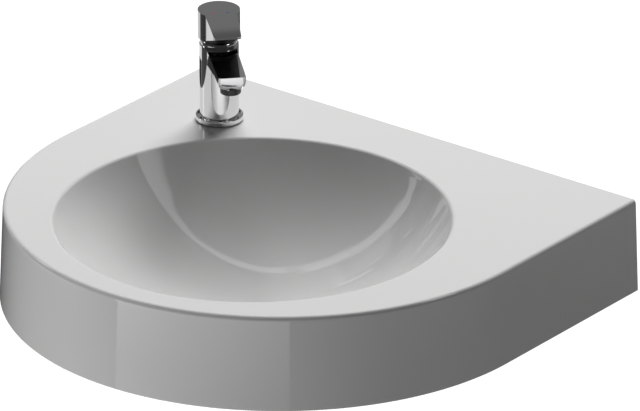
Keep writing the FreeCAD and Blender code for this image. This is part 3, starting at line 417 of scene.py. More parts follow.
class Finish(NodeTree):
    """A material with one Principled shader."""

    def __init__(self, name, roughness, metallic=0.0, **constants):
        self.material = bpy.data.materials.new(name)
        self.material.use_nodes = True
        super().__init__(self.material.node_tree)
        self.nodes.clear()
        self.shader = self.make("ShaderNodeBsdfPrincipled",
                                sockets={"Roughness": roughness, "Metallic": metallic})
        for socket, value in constants.items():
            self.shader.inputs[socket.replace("_", " ")].default_value = value
        self.close("ShaderNodeOutputMaterial", "Surface", Wire(self, self.shader.outputs["BSDF"]))

    def feed(self, **wires):
        for socket, wire in wires.items():
            self.links.new(wire.socket, self.shader.inputs[socket.replace("_", " ")])

    def place(self, centre=(0.0, 0.0, 0.0), scale=(1.0, 1.0, 1.0)):
        """Object coordinates, measured from a centre."""
        return self.add("ShaderNodeMapping", {"vector_type": "TEXTURE"},
                        {"Vector": self.spot(), "Location": Vector(centre), "Scale": scale})

    def noise(self, place, scale, detail=2.0, distortion=0.0):
        return self.add("ShaderNodeTexNoise", {"noise_dimensions": "3D"},
                        {"Vector": place, "Scale": scale, "Detail": detail,
                         "Distortion": distortion})

    def blend(self, factor, first, second):
        """Mix of two colours. The Mix node's colour sockets go by number, as their names repeat."""
        return self.add("ShaderNodeMix", {"data_type": "RGBA", "clamp_factor": True},
                        {0: factor, 6: rgba(first), 7: rgba(second)}, output=2)

    def tones(self, factor, colour, dark, light):
        """From a darker to a lighter share of one colour."""
        return self.blend(factor, shade(colour, dark), shade(colour, light))

    def bump(self, height, distance, strength=1.0):
        self.feed(Normal=self.add("ShaderNodeBump", None, {
            "Height": height, "Distance": distance, "Strength": strength}))


# ---- finishes ----

def glaze_finish(name, colours, sizes):
    """White glaze, with bare bisque on the ground wall face and on the foot."""
    finish = Finish(name, roughness=0.06, IOR=1.5)
    place = finish.place()
    x, y, z = finish.split(place)
    ragged = (finish.noise(place, 260.0, 3.0) - 0.5) * GLAZE_STRAY
    foot = DECK - sizes.fascia_height
    on_wall = (y + ragged).over(*WALL_BARE)
    on_foot = (foot - z + ragged).over(*FOOT_BARE) * (z - foot).over(*FOOT_ONLY)
    off_x, off_y = x - WASTE_AXIS.x, y - WASTE_AXIS.y
    from_bowl = (off_x * off_x + off_y * off_y).maths("SQRT")
    on_foot = on_foot * (1.0 - on_wall) * from_bowl.over(*OFF_BOWL)
    bare = on_wall + on_foot

    cloud = finish.noise(place, 5.0, 3.0)
    body = finish.tones(cloud, colours.glaze, 0.985, 1.01)
    specks = finish.noise(place, 900.0, 1.0).over(0.74, 0.80)
    body = finish.blend(specks * 0.05, body, shade(colours.glaze, 0.6))
    grain = finish.noise(place, 700.0, 4.0)
    raw = finish.tones(grain, colours.bisque, 0.86, 1.08)
    finish.feed(Base_Color=finish.blend(bare, body, raw))
    gloss = 0.022 + finish.noise(place, 14.0, 2.0) * 0.024
    finish.feed(Roughness=gloss + bare * 0.75)
    ripple = finish.noise(place, 42.0, 1.0) * 0.25 + finish.noise(place, 380.0, 1.0) * 0.02
    finish.bump(ripple * (1.0 - bare) + grain * bare * 0.4, 0.0002, 0.22)
    return finish.material


def chrome_finish(name, colour, centre):
    """Polished chrome with a faint haze from wiping, seen only in its gloss."""
    finish = Finish(name, roughness=0.05, metallic=1.0)
    place = finish.place(centre)
    haze = finish.noise(place, 55.0, 3.0, 0.6)
    wipes = finish.noise(finish.place(centre, (1.0, 1.0, 0.12)), 420.0, 2.0)
    finish.feed(Base_Color=finish.tones(haze, colour, 0.965, 1.03),
                Roughness=0.025 + haze * 0.035 + wipes.over(0.55, 0.8) * 0.03)
    finish.bump(finish.noise(place, 90.0, 1.0), 0.0001, 0.02)
    return finish.material


def lever_finish(name, colour, centre):
    """Polished chrome outside. The hollow underside and the skirt's low front are rougher, and
    darkened with painted shade.
    """
    finish = Finish(name, roughness=0.05, metallic=1.0)
    place = finish.place(centre)
    across, along, up = finish.split(finish.add("ShaderNodeTexCoord", output="Normal"))
    rise = finish.split(place)[2]
    forward = (across * SPOUT_WAY.x + along * SPOUT_WAY.y).over(*LEVER_FRONT)
    # Painted shade: faces that look along the spout below the skirt, and faces that look down, are
    # given a dark colour.
    shaded_low_front = forward * (1.0 - rise.over(*LEVER_SKIRT))
    # This mask carries the painted shade, and also the extra roughness and grain of those faces.
    under = (-up).over(*LEVER_UNDER).maths("MAXIMUM", shaded_low_front)
    haze = finish.noise(place, 55.0, 3.0, 0.6)
    cast = finish.noise(place, 900.0, 3.0)
    bright = finish.tones(haze, colour, 0.975, 1.02)
    # The colour of the painted shade, with a fine grain in it.
    painted_shade_colour = finish.tones(cast, colour, 0.05, 0.12)
    finish.feed(Base_Color=finish.blend(under, bright, painted_shade_colour),
                Roughness=0.03 + haze * 0.03 + under * 0.4)
    finish.bump(cast * under, 0.00006, 0.4)
    return finish.material


def brass_finish(name, colour, centre):
    """Machined brass: fine rings round the axis."""
    finish = Finish(name, roughness=0.3, metallic=1.0)
    place = finish.place(centre)
    rings = finish.add(
        "ShaderNodeTexWave",
        {"wave_type": "RINGS", "rings_direction": "Z", "wave_profile": "SAW"},
        {"Vector": place, "Scale": 900.0, "Distortion": 0.4, "Detail": 1.0}, output="Fac")
    stain = finish.noise(place, 130.0, 3.0)
    finish.feed(Base_Color=finish.tones(stain, colour, 0.8, 1.08),
                Roughness=0.24 + rings * 0.12 + stain * 0.08)
    finish.bump(rings, 0.00004, 0.4)
    return finish.material


def zinc_finish(name, colour, centre):
    """Zinc plating: small cloudy patches and fine scratches."""
    finish = Finish(name, roughness=0.35, metallic=1.0)
    place = finish.place(centre)
    patches = finish.add("ShaderNodeTexVoronoi", {"feature": "SMOOTH_F1"},
                         {"Vector": place, "Scale": 260.0, "Smoothness": 0.5})
    scratches = finish.noise(finish.place(centre, (0.05, 1.0, 1.0)), 300.0, 3.0).over(0.5, 0.75)
    finish.feed(Base_Color=finish.tones(patches * 4.0, colour, 0.86, 1.1),
                Roughness=0.28 + scratches * 0.2)
    finish.bump(scratches, 0.00003, 0.3)
    return finish.material


def rubber_finish(name, colour, centre):
    """Matt rubber with talc in its pores and a moulded grain."""
    finish = Finish(name, roughness=0.75)
    place = finish.place(centre)
    grain = finish.noise(place, 2200.0, 3.0)
    dust = finish.noise(place, 160.0, 4.0).over(0.55, 0.8)
    finish.feed(Base_Color=finish.blend(dust * 0.35, colour, shade(colour, 3.5)),
                Roughness=0.62 + grain * 0.25)
    finish.bump(grain, 0.00006, 0.5)
    return finish.material


def moulded_finish(name, colour, centre, gloss):
    """Moulded plastic: a spark-eroded grain, and flow marks in its shade."""
    finish = Finish(name, roughness=gloss)
    place = finish.place(centre)
    grain = finish.noise(place, 1500.0, 2.0)
    flow = finish.noise(finish.place(centre, (1.0, 1.0, 0.3)), 90.0, 2.0, 1.0)
    finish.feed(Base_Color=finish.tones(flow, colour, 0.92, 1.06),
                Roughness=gloss - 0.05 + grain * 0.14)
    finish.bump(grain, 0.00004, 0.35)
    return finish.material


def enamel_finish(name, colour, centre):
    """Glossy enamel let into the lever."""
    finish = Finish(name, roughness=0.12, Coat_Weight=0.6)
    mottle = finish.noise(finish.place(centre), 2500.0, 2.0)
    finish.feed(Base_Color=finish.tones(mottle, colour, 0.88, 1.1))
    return finish.material


# For each slot but the glaze: its recipe, its colour, its centre and, on plastic, its roughness.
RECIPES = {
    "tap_chrome": (chrome_finish, "chrome", TAP_AXIS),
    "lever_chrome": (lever_finish, "lever_chrome", TAP_AXIS),
    "waste_chrome": (chrome_finish, "chrome", WASTE_AXIS),
    "machined_brass": (brass_finish, "brass", TAP_AXIS),
    "zinc_steel": (zinc_finish, "zinc", TAP_AXIS),
    "black_rubber": (rubber_finish, "rubber", TAP_AXIS),
    "white_nylon": (moulded_finish, "nylon", WASTE_AXIS, 0.42),
    "grey_plastic": (moulded_finish, "grey_plastic", WASTE_AXIS, 0.38),
    "black_plastic": (moulded_finish, "black_plastic", TAP_AXIS, 0.3),
    "red_enamel": (enamel_finish, "hot", TAP_AXIS),
    "blue_enamel": (enamel_finish, "cold", TAP_AXIS),
}


def all_finishes(colours, sizes):
    """One material for each slot of the record."""
    made = {"glaze": glaze_finish(FINISH_NAMES["glaze"], colours, sizes)}
    for slot, (recipe, colour, centre, *gloss) in RECIPES.items():
        made[slot] = recipe(FINISH_NAMES[slot], getattr(colours, colour), centre, *gloss)
    return made


def finish_of(node):
    return bpy.data.materials[FINISH_NAMES[SLOT_OF[node]]]


# ---- pieces ----

def new_piece(name, data):
    """An object of the scene: a mesh, a lamp or the camera."""
    piece = bpy.data.objects.new(name, data)
    bpy.context.scene.collection.objects.link(piece)
    return piece


def mesh_with(name, corners, faces, **numbers):
    """A mesh that holds named numbers at its corners."""
    mesh = bpy.data.meshes.new(name)
    mesh.from_pydata(corners, [], faces)
    for label, values in numbers.items():
        mesh.attributes.new(label, "FLOAT", "POINT").data.foreach_set("value", values)
    return mesh


def copied(node):
    """A node's mesh, to work on. The node keeps its own."""
    work = bmesh.new()
    work.from_mesh(frame["nodes"][node].data)
    return work


def finished(piece):
    """The plain mesh that a piece's modifiers give."""
    return bpy.data.meshes.new_from_object(
        piece.evaluated_get(bpy.context.evaluated_depsgraph_get()))


def join_body(piece, node):
    """Give a piece the finish and the body of a node."""
    piece.data.materials.clear()
    piece.data.materials.append(finish_of(node))
    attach(piece, BODY_OF[node])


def settle(piece, node):
    """Let a finished piece stand for a node."""
    join_body(piece, node)
    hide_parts(node)


def tidied(name, work):
    """A piece out of loose triangles: merged corners, whole flat faces, and creases at bends."""
    bmesh.ops.remove_doubles(work, verts=work.verts, dist=MERGE)
    bmesh.ops.dissolve_limit(work, angle_limit=FLAT, verts=work.verts, edges=work.edges)
    mesh = bpy.data.meshes.new(name)
    work.to_mesh(mesh)
    work.free()
    mesh.shade_smooth()
    mesh.set_sharp_from_angle(angle=CREASE)
    return new_piece(name, mesh)


def dressed(node, soft_edge, reshape=None, axis=None):
    """A copy of a node with merged corners, flat faces in one piece and softened edges.

    A reshape changes the copy first. Walls that run round an axis are shaded as true cylinders.
    """
    work = copied(node)
    if reshape:
        reshape(work)
    piece = tidied(f"{node}_dressed", work)
    bevel = piece.modifiers.new("Soft edges", "BEVEL")
    bevel.width = soft_edge
    bevel.segments = 2
    bevel.limit_method = "ANGLE"
    bevel.angle_limit = CREASE
    even = piece.modifiers.new("Even shading", "WEIGHTED_NORMAL")
    even.keep_sharp = True
    if axis:
        shade_round(piece, axis)
    settle(piece, node)


def shade_round(piece, axis):
    """Apply a piece's modifiers, then give its upright round walls a true cylinder's normals."""
    mesh = finished(piece)
    piece.modifiers.clear()
    piece.data = mesh
    normals = [corner.vector.copy() for corner in mesh.corner_normals]
    for face in mesh.polygons:
        arms = [mesh.vertices[vert].co.xy - axis.xy for vert in face.vertices]
        reach = [arm.length for arm in arms]
        if abs(face.normal.z) > UPRIGHT or max(reach) - min(reach) > ROUND_SLACK:
            continue
        for corner, arm in zip(face.loop_indices, arms):
            out = arm.to_3d().normalized()
            facing = face.normal.dot(out)
            if abs(facing) > SQUARE_ON:
                normals[corner] = out if facing > 0.0 else -out
    mesh.normals_split_custom_set(normals)


def dress_all(nodes, soft_edge):
    for node in nodes:
        dressed(node, soft_edge)


def ahead(spot):
    """How far in front of the column a place is, along the spout."""
    return (spot.xy - TAP_AXIS.xy).dot(SPOUT_WAY)


def shape_column(sizes):
    """The column's rim is brought down level with the spout, and the spout's nose rolls under."""
    top = DECK + sizes.column_rim
    foot = DECK + sizes.spout_foot
    root = sizes.spout_reach - sizes.nose_round

    def reshape(work):
        for step in range(1, NOSE_CUTS):
            front = [face for face in work.faces
                     if all(ahead(vert.co) > root + NOSE_SLACK for vert in face.verts)]
            parts = front + list({edge for face in front for edge in face.edges})
            parts += list({vert for face in front for vert in face.verts})
            level = foot + (top - foot) * step / NOSE_CUTS
            bmesh.ops.bisect_plane(work, geom=parts, dist=CUT_MERGE,
                                   plane_co=(0.0, 0.0, level), plane_no=(0.0, 0.0, 1.0))
        for vert in work.verts:
            vert.co.z = min(vert.co.z, top)
            past = ahead(vert.co) - root
            if past > 0.0 and vert.co.z > foot + FOOT_SLACK:
                drop = (top - vert.co.z) / (top - foot)
                vert.co.xy -= SPOUT_WAY * past * sizes.nose_roll * drop ** 2

    return reshape


def shape_lever(sizes):
    """The face of the lever's tip leans back towards its lower edge."""
    def reshape(work):
        for vert in work.verts:
            if ahead(vert.co) > sizes.lever_reach - LEVER_TIP:
                depth = max(0.0, DECK + sizes.lever_tip_top - vert.co.z)
                vert.co.xy -= SPOUT_WAY * depth * sizes.lever_lean

    return reshape


def grown(name, mesh, group, values, material):
    """The plain mesh that a Geometry Nodes tree makes out of a mesh."""
    seed = new_piece(f"{name}_seed", mesh)
    grow = seed.modifiers.new("Grow", "NODES")
    grow.node_group = group
    given = {**values, "Material": material}
    for item in group.interface.items_tree:
        if item.item_type == "SOCKET" and item.in_out == "INPUT" and item.name in given:
            grow[item.identifier] = given[item.name]
    made = finished(seed)
    made.name = name
    bpy.data.objects.remove(seed)
    return new_piece(name, made)


class GrowTree(NodeTree):
    """A Geometry Nodes tree with named inputs, ended by Realize Instances and Set Material."""

    def __init__(self, name, defaults):
        self.group = bpy.data.node_groups.new(name, "GeometryNodeTree")
        super().__init__(self.group)
        self.socket("Geometry", "INPUT", "NodeSocketGeometry")
        for label, value in defaults.items():
            self.socket(label, "INPUT", "NodeSocketFloat").default_value = value
        self.socket("Material", "INPUT", "NodeSocketMaterial")
        self.socket("Geometry", "OUTPUT", "NodeSocketGeometry")
        self.source = self.nodes.new("NodeGroupInput")

    def socket(self, label, side, kind):
        return self.group.interface.new_socket(label, in_out=side, socket_type=kind)

    def given(self, label):
        return Wire(self, self.source.outputs[label])

    def end(self, geometry):
        """Smooth faces, sharp creases, then the finish."""
        whole = self.add("GeometryNodeRealizeInstances", sockets={"Geometry": geometry})
        smooth = self.add("GeometryNodeSetShadeSmooth", {"domain": "FACE"},
                          {"Geometry": whole, "Shade Smooth": True})
        bend = self.add("GeometryNodeInputMeshEdgeAngle")
        sharp = self.number("GREATER_THAN", bend, GROWN_CREASE)
        creased = self.add("GeometryNodeSetShadeSmooth", {"domain": "EDGE"},
                           {"Geometry": smooth, "Selection": sharp, "Shade Smooth": False})
        ready = self.add("GeometryNodeSetMaterial", sockets={
            "Geometry": creased, "Material": self.given("Material")})
        self.close("NodeGroupOutput", "Geometry", ready)
        return self.group


def thread_tree(values):
    """A screw thread: one ridge, wound round a core."""
    tree = GrowTree("thread_rule", values)
    depth, bottom = tree.given("Depth"), tree.given("Bottom")
    core = tree.given("Crest") - depth
    height = tree.given("Top") - bottom - depth * 2.0
    helix = tree.add("GeometryNodeCurveSpiral", None, {
        "Resolution": HELIX_STEPS, "Rotations": height / tree.given("Pitch"),
        "Start Radius": core, "End Radius": core, "Height": height})
    upright = tree.add("GeometryNodeSetCurveNormal", {"mode": "Z_UP"}, {"Curve": helix})
    ridge = tree.add("GeometryNodeCurvePrimitiveCircle", {"mode": "RADIUS"},
                     {"Resolution": 4, "Radius": depth})
    wound = tree.add("GeometryNodeCurveToMesh", None, {
        "Curve": upright, "Profile Curve": ridge, "Fill Caps": True})
    lift = tree.join(tree.given("Axis X"), tree.given("Axis Y"), bottom + depth)
    return tree.end(tree.add("GeometryNodeTransform", None,
                             {"Geometry": wound, "Translation": lift}))


def threaded(node, axis, crest, depth, pitch, spans):
    """A copy of a node whose smooth shank is cut down to a core, and the ridges of its thread."""
    work = copied(node)
    for vert in work.verts:
        away = vert.co.xy - axis.xy
        near = any(low - pitch < vert.co.z < high + pitch for low, high in spans)
        if abs(away.length - crest) < SHANK_SLACK and near:
            away *= (crest - depth) / away.length
            vert.co.x, vert.co.y = axis.x + away.x, axis.y + away.y
    settle(tidied(f"{node}_core", work), node)
    for count, (low, high) in enumerate(spans, 1):
        values = {"Crest": crest, "Depth": depth, "Pitch": pitch, "Top": high, "Bottom": low,
                  "Axis X": axis.x, "Axis Y": axis.y}
        ridge = grown(f"{node}_thread_{count}", bpy.data.meshes.new("seed"), thread_tree(values),
                      values, finish_of(node))
        join_body(ridge, node)


# ---- ceramic ----

def arc_points(centre, radius, start, finish, steps):
    """Points along an arc in the section's plane, both ends included."""
    turns = [start + (finish - start) * step / steps for step in range(steps + 1)]
    return [(centre[0] + radius * math.cos(turn), centre[1] + radius * math.sin(turn))
            for turn in turns]


def basin_section(sizes):
    """The ceramic's closed section, as rows of (share, bowl reach, outset, height, setback).

    A row with share 0 runs round the bowl at its reach. A row with share 1 runs round the
    outline, at its outset, and no nearer to the wall than its setback.
    """
    foot = DECK - sizes.fascia_height
    under = DECK - sizes.deck_thickness
    half_top = sizes.foot_width / 2 - sizes.fascia_taper
    reach = half_top - sizes.side_ledge
    ball = (reach ** 2 / sizes.bowl_depth + sizes.bowl_depth) / 2
    middle = DECK - sizes.bowl_depth + ball
    outer = ball + sizes.bowl_wall
    seat = DECK - sizes.bowl_depth - sizes.recess_depth
    boss = seat - sizes.boss_thickness
    rows = []

    def bowl_row(at, height):
        rows.append((0.0, at, 0.0, height, 0.0))

    def edge_row(outset, height, setback):
        rows.append((1.0, reach, outset, height, setback))

    def ball_rows(radius, start, end, steps):
        for step in range(steps + 1):
            lean = start + (end - start) * step / steps
            bowl_row(radius * math.sin(lean), middle - radius * math.cos(lean))

    # The waste's hole and seat, the bowl and its rim.
    bowl_row(sizes.waste_hole, boss)
    bowl_row(sizes.waste_hole, seat)
    bowl_row(sizes.recess_reach, seat)
    rim = sizes.rim_round
    rim_reach = math.sqrt((ball + rim) ** 2 - (middle - DECK + rim) ** 2)
    meeting = math.asin(rim_reach / (ball + rim))
    ball_rows(ball, math.asin(sizes.recess_reach / ball), meeting, BALL_ROWS)
    inward = math.pi / 2 + meeting
    rim_arc = arc_points((rim_reach, DECK - rim), rim, inward, math.pi / 2, ROUND_ROWS)
    for at, height in rim_arc[1:]:
        bowl_row(at, height)

    # The deck, from the bowl's rim to the outline, with a close row beside each round.
    edge = sizes.edge_round
    margin = edge * CLOSE_ROW
    bowl_row(rim_reach + margin, DECK)
    slope = math.hypot(sizes.fascia_taper, sizes.fascia_height)
    inset = edge * (sizes.fascia_taper - slope) / sizes.fascia_height
    for share in DECK_SHARES:
        rows.append((share, rim_reach + margin, inset - margin, DECK, edge))

    # The fascia, from its upper round down to its foot, and the inside of its wall.
    lean = math.atan2(sizes.fascia_taper, sizes.fascia_height)
    for at, height in arc_points((inset, DECK - edge), edge, math.pi / 2, lean, ROUND_ROWS):
        edge_row(at, height, 0.0)
    drop = sizes.foot_round
    for share in FASCIA_SHARES:
        height = DECK - edge + (foot + drop - DECK + edge) * share
        edge_row((DECK - height) * math.tan(lean), height, 0.0)
    foot_centre = (sizes.fascia_taper - drop, foot + drop)
    for at, height in arc_points(foot_centre, drop, 0.0, -math.pi / 2, FOOT_ROWS)[1:]:
        edge_row(at, height, 0.0)
    edge_row(sizes.fascia_taper - sizes.shell_wall, foot, sizes.back_wall)
    for share in FASCIA_SHARES:
        outset = sizes.fascia_taper * (1.0 - share) - sizes.shell_wall
        edge_row(outset, foot + (under - foot) * share, sizes.back_wall)

    # The underside of the deck and of the bowl, back to the hole.
    under_reach = math.sqrt(outer ** 2 - (middle - under) ** 2)
    rows.append((0.5, under_reach, -sizes.shell_wall, under, sizes.back_wall))
    ball_rows(outer, math.asin(under_reach / outer), math.asin(sizes.boss_reach / outer),
              DISH_ROWS)
    bowl_row(sizes.boss_reach, boss)
    rows.append(rows[0])
    return rows


def basin_tree(rows, values):
    """The ceramic as a rule: one section, carried round the bowl inside and the outline outside."""
    columns = FRONT_COLUMNS + 2 * SIDE_COLUMNS + BACK_COLUMNS
    tree = GrowTree("basin_shell_rule", values)
    half, side = tree.given("Half Width"), tree.given("Side Length")
    sheet = tree.add("GeometryNodeMeshGrid", None, {
        "Size X": float(columns), "Size Y": float(rows - 1), "Vertices X": columns + 1,
        "Vertices Y": rows})
    across, along = tree.split(tree.add("GeometryNodeInputPosition"))[:2]
    column = across + columns / 2
    row = (along + (rows - 1) / 2).maths("ROUND")

    def row_value(data_type, field):
        """What the section's mesh holds for this row."""
        return tree.add("GeometryNodeSampleIndex", {"data_type": data_type, "domain": "POINT"},
                        {"Geometry": tree.given("Geometry"), "Value": field, "Index": row})

    def row_number(name):
        return row_value("FLOAT", tree.add("GeometryNodeInputNamedAttribute",
                                           {"data_type": "FLOAT"}, {"Name": name}))

    place = row_value("FLOAT_VECTOR", tree.add("GeometryNodeInputPosition"))
    reach, outset, height = tree.split(place)
    share = row_number("share")
    setback = row_number("setback")

    def stretch(start, count, low, high):
        """A value that goes from low to high over a run of columns."""
        return tree.add("ShaderNodeMapRange", {"interpolation_type": "LINEAR"},
                        {"Value": column, "From Min": float(start),
                         "From Max": float(start + count), "To Min": low, "To Max": high})

    # The outline: round the front, back along the right side, along the wall, and forward again.
    right_end = FRONT_COLUMNS + SIDE_COLUMNS
    back_end = right_end + BACK_COLUMNS
    turn = stretch(0, FRONT_COLUMNS, math.pi, 2 * math.pi)
    out_x = half * turn.maths("COSINE") - stretch(right_end, BACK_COLUMNS, 0.0, 2.0) * half
    out_y = half * turn.maths("SINE") - side
    out_y = out_y + stretch(FRONT_COLUMNS, SIDE_COLUMNS, 0.0, 1.0) * side
    out_y = out_y - stretch(back_end, SIDE_COLUMNS, 0.0, 1.0) * side
    lean_x = out_x / half
    lean_y = (out_y + side).maths("MINIMUM", 0.0) / half
    edge_x = out_x + lean_x * outset
    edge_y = (out_y + lean_y * outset).maths("MINIMUM", -setback)

    # The bowl's round, on the line from its centre to the outline.
    centre_x, centre_y = tree.given("Bowl Offset"), -tree.given("Bowl Setback")
    away_x, away_y = out_x - centre_x, out_y - centre_y
    away = (away_x * away_x + away_y * away_y).maths("SQRT")
    bowl_x = centre_x + away_x / away * reach
    bowl_y = centre_y + away_y / away * reach
    spot = tree.join(bowl_x + (edge_x - bowl_x) * share, bowl_y + (edge_y - bowl_y) * share,
                     height)
    wrapped = tree.add("GeometryNodeSetPosition", None, {"Geometry": sheet, "Position": spot})
    closed = tree.add("GeometryNodeMergeByDistance", None, {
        "Geometry": wrapped, "Distance": SHELL_MERGE})

    drill = tree.make("GeometryNodeJoinGeometry")

    def bore(radius, x, y, z, tilt):
        rod = tree.add("GeometryNodeMeshCylinder", {"fill_type": "NGON"},
                       {"Vertices": BORE_SIDES, "Radius": radius, "Depth": BORE_DEPTH})
        placed = tree.add("GeometryNodeTransform", None, {
            "Geometry": rod, "Translation": tree.join(x, y, z), "Rotation": (tilt, 0.0, 0.0)})
        tree.links.new(placed.socket, drill.inputs[0])

    bore(tree.given("Tap Hole"), tree.given("Tap X"), tree.given("Tap Y"),
         tree.given("Deck Height"), 0.0)
    for hand in (-0.5, 0.5):
        bore(tree.given("Fixing Hole"), tree.given("Fixing Spacing") * hand, 0.0, 0.0, math.pi / 2)
    return tree.end(tree.add("GeometryNodeMeshBoolean",
                             {"operation": "DIFFERENCE", "solver": "EXACT"},
                             {0: closed, 1: Wire(tree, drill.outputs[0])}))


def make_basin(sizes):
    rows = basin_section(sizes)
    shares, reaches, outsets, heights, setbacks = zip(*rows)
    section = mesh_with("basin_section", list(zip(reaches, outsets, heights)), [],
                        share=shares, setback=setbacks)
    side_length = sizes.depth - sizes.foot_width / 2
    values = {
        "Half Width": sizes.foot_width / 2 - sizes.fascia_taper,
        "Side Length": side_length,
        "Bowl Offset": sizes.bowl_offset,
        "Bowl Setback": side_length + sizes.side_ledge - sizes.front_ledge,
        "Tap X": TAP_AXIS.x, "Tap Y": TAP_AXIS.y, "Tap Hole": sizes.tap_hole,
        "Deck Height": DECK,
        "Fixing Hole": sizes.fixing_hole, "Fixing Spacing": sizes.fixing_spacing,
    }
    shell = grown("basin_shell", section, basin_tree(len(rows), values), values,
                  finish_of("basin"))
    settle(shell, "basin")


# ---- stage ----

def aim(thing, place, target):
    thing.location = place
    thing.rotation_mode = "QUATERNION"
    thing.rotation_quaternion = (Vector(target) - Vector(place)).to_track_quat("-Z", "Y")


def lamp(name, place, target, width, height, level):
    """A soft lamp. Its level is the brightness of a white surface that faces it, at its target."""
    light = bpy.data.lights.new(name, "AREA")
    light.shape = "RECTANGLE"
    light.size = width
    light.size_y = height
    light.energy = level * (math.pi * (Vector(place) - Vector(target)).length) ** 2
    holder = new_piece(name, light)
    aim(holder, place, target)
    holder.visible_camera = False
    holder.visible_glossy = False


def card(name, mesh, glow):
    """A self-lit card that only mirrors show. It throws no light and no shadow."""
    material = bpy.data.materials.new(name)
    tree = shader_tree(material)
    material.cycles.emission_sampling = "NONE"
    light = tree.add("ShaderNodeEmission", None, {"Color": grey(1.0), "Strength": glow(tree)})
    tree.close("ShaderNodeOutputMaterial", "Surface", light)
    mesh.materials.append(material)
    piece = new_piece(name, mesh)
    piece.visible_camera = False
    piece.visible_diffuse = False
    piece.visible_shadow = False
    piece.visible_transmission = False


def profile(stops):
    """Directions every few degrees with the level between the stops, and both sides of a jump."""
    steps = []
    for (start, first), (finish, second) in zip(stops, stops[1:]):
        count = max(1, math.ceil((finish - start) / CARD_STEP))
        steps += [(start + (finish - start) * step / count,
                   first + (second - first) * step / count) for step in range(count)]
    return steps + [stops[-1]]


def round_card(name, centre, reach, stops, rows):
    """An upright round card: its level changes with the direction in plan and from row to row."""
    corners, faces, levels = [], [], []
    count = len(rows)
    for column, (turn, level) in enumerate(profile(stops)):
        out = math.radians(turn)
        for row, (height, share) in enumerate(rows):
            corners.append((centre[0] + reach * math.cos(out), centre[1] + reach * math.sin(out),
                            height))
            levels.append(level * share)
            if column and row:
                here = column * count + row
                faces.append((here - count - 1, here - 1, here, here - count))
    card(name, mesh_with(name, corners, faces, level=levels),
         lambda tree: tree.attribute("level"))


def strip_card(name, height, crisp, soft):
    """A level, bent strip of light with one crisp edge and one soft edge."""
    count = len(crisp)
    mesh = mesh_with(name, [(x, y, height) for x, y in crisp + soft],
                     [(step, step + 1, count + step + 1, count + step)
                      for step in range(count - 1)],
                     across=[0.0] * count + [1.0] * count)
    card(name, mesh,
         lambda tree: (1.0 - tree.attribute("across").over(*STRIP_FADE)) * STRIP_LEVEL)


def canopy(level, rear_level, top_level):
    """A dim dome over everything, lighter at its top and low down behind the object."""
    mesh = bpy.data.meshes.new("canopy")
    shell = bmesh.new()
    bmesh.ops.create_uvsphere(shell, u_segments=2 * CANOPY_RINGS, v_segments=CANOPY_RINGS,
                              radius=CANOPY_REACH)
    low = [vert for vert in shell.verts if vert.co.z < CANOPY_FOOT * CANOPY_REACH]
    bmesh.ops.delete(shell, geom=low, context="VERTS")
    shell.to_mesh(mesh)
    shell.free()

    def glow(tree):
        x, y, z = tree.split(tree.spot())
        behind = (y * CANOPY_BEHIND[1] + x * CANOPY_BEHIND[0]) / CANOPY_REACH
        rise = z / CANOPY_REACH
        rear = behind.over(*CANOPY_REAR_STARTS) * (1.0 - rise.over(*CANOPY_REAR_ENDS))
        top = rise.over(*CANOPY_TOP_STARTS)
        return level + rear * (rear_level - level) + top * (top_level - level)

    card("canopy", mesh, glow)


def direct_view(tree):
    """1 for what the camera, mirrors and glass see."""
    path = tree.make("ShaderNodeLightPath")
    camera, glossy, glass = [Wire(tree, path.outputs[f"Is {kind} Ray"])
                             for kind in ("Camera", "Glossy", "Transmission")]
    return camera.maths("MAXIMUM", glossy).maths("MAXIMUM", glass)


def floor_finish():
    """Pale floor. What the camera and mirrors see of it is white where nothing shades it."""
    material = bpy.data.materials.new("pale_floor")
    tree = shader_tree(material)
    seen = direct_view(tree)
    matt = tree.add("ShaderNodeBsdfDiffuse", None, {"Color": grey(FLOOR_GREY)})
    pale = tree.add("ShaderNodeBsdfDiffuse", None, {"Color": grey(FLOOR_SEEN)})
    glow = tree.add("ShaderNodeEmission", None, {"Color": grey(1.0), "Strength": FLOOR_GLOW})
    white = tree.add("ShaderNodeAddShader", None, {0: pale, 1: glow})
    both = tree.add("ShaderNodeMixShader", None, {0: seen, 1: matt, 2: white})
    clear = tree.add("ShaderNodeBsdfTransparent")
    below = tree.add("ShaderNodeNewGeometry", output="Backfacing")
    one_way = tree.add("ShaderNodeMixShader", None, {0: below, 1: both, 2: clear})
    tree.close("ShaderNodeOutputMaterial", "Surface", one_way)
    return material


def set_floor(settings):
    half, drop = FLOOR_HALF, -settings.floor_drop
    corners = [(-half, -half, drop), (half, -half, drop), (half, half, drop), (-half, half, drop)]
    mesh = mesh_with("floor", corners, [(0, 1, 2, 3)])
    mesh.materials.append(floor_finish())
    new_piece("floor", mesh)


def set_world(level):
    """White to the camera and to mirrors, and an even dim light for everything else."""
    world = bpy.data.worlds.new("studio")
    bpy.context.scene.world = world
    tree = shader_tree(world)
    strength = level + direct_view(tree) * (1.0 - level)
    tree.close("ShaderNodeOutputWorld", "Surface", tree.add("ShaderNodeBackground", None, {
        "Color": grey(1.0), "Strength": strength}))


def set_camera(settings):
    camera = bpy.data.cameras.new("camera")
    camera.lens = settings.camera_lens
    camera.sensor_width = SENSOR_WIDTH
    camera.clip_start, camera.clip_end = CLIP
    holder = new_piece("camera", camera)
    turn, rise = settings.camera_azimuth, settings.camera_elevation
    back = Vector((math.sin(turn) * math.cos(rise), -math.cos(turn) * math.cos(rise),
                   math.sin(rise)))
    target = Vector(settings.camera_aim)
    aim(holder, target + back * settings.camera_distance, target)
    bpy.context.scene.camera = holder


# ---- operators ----

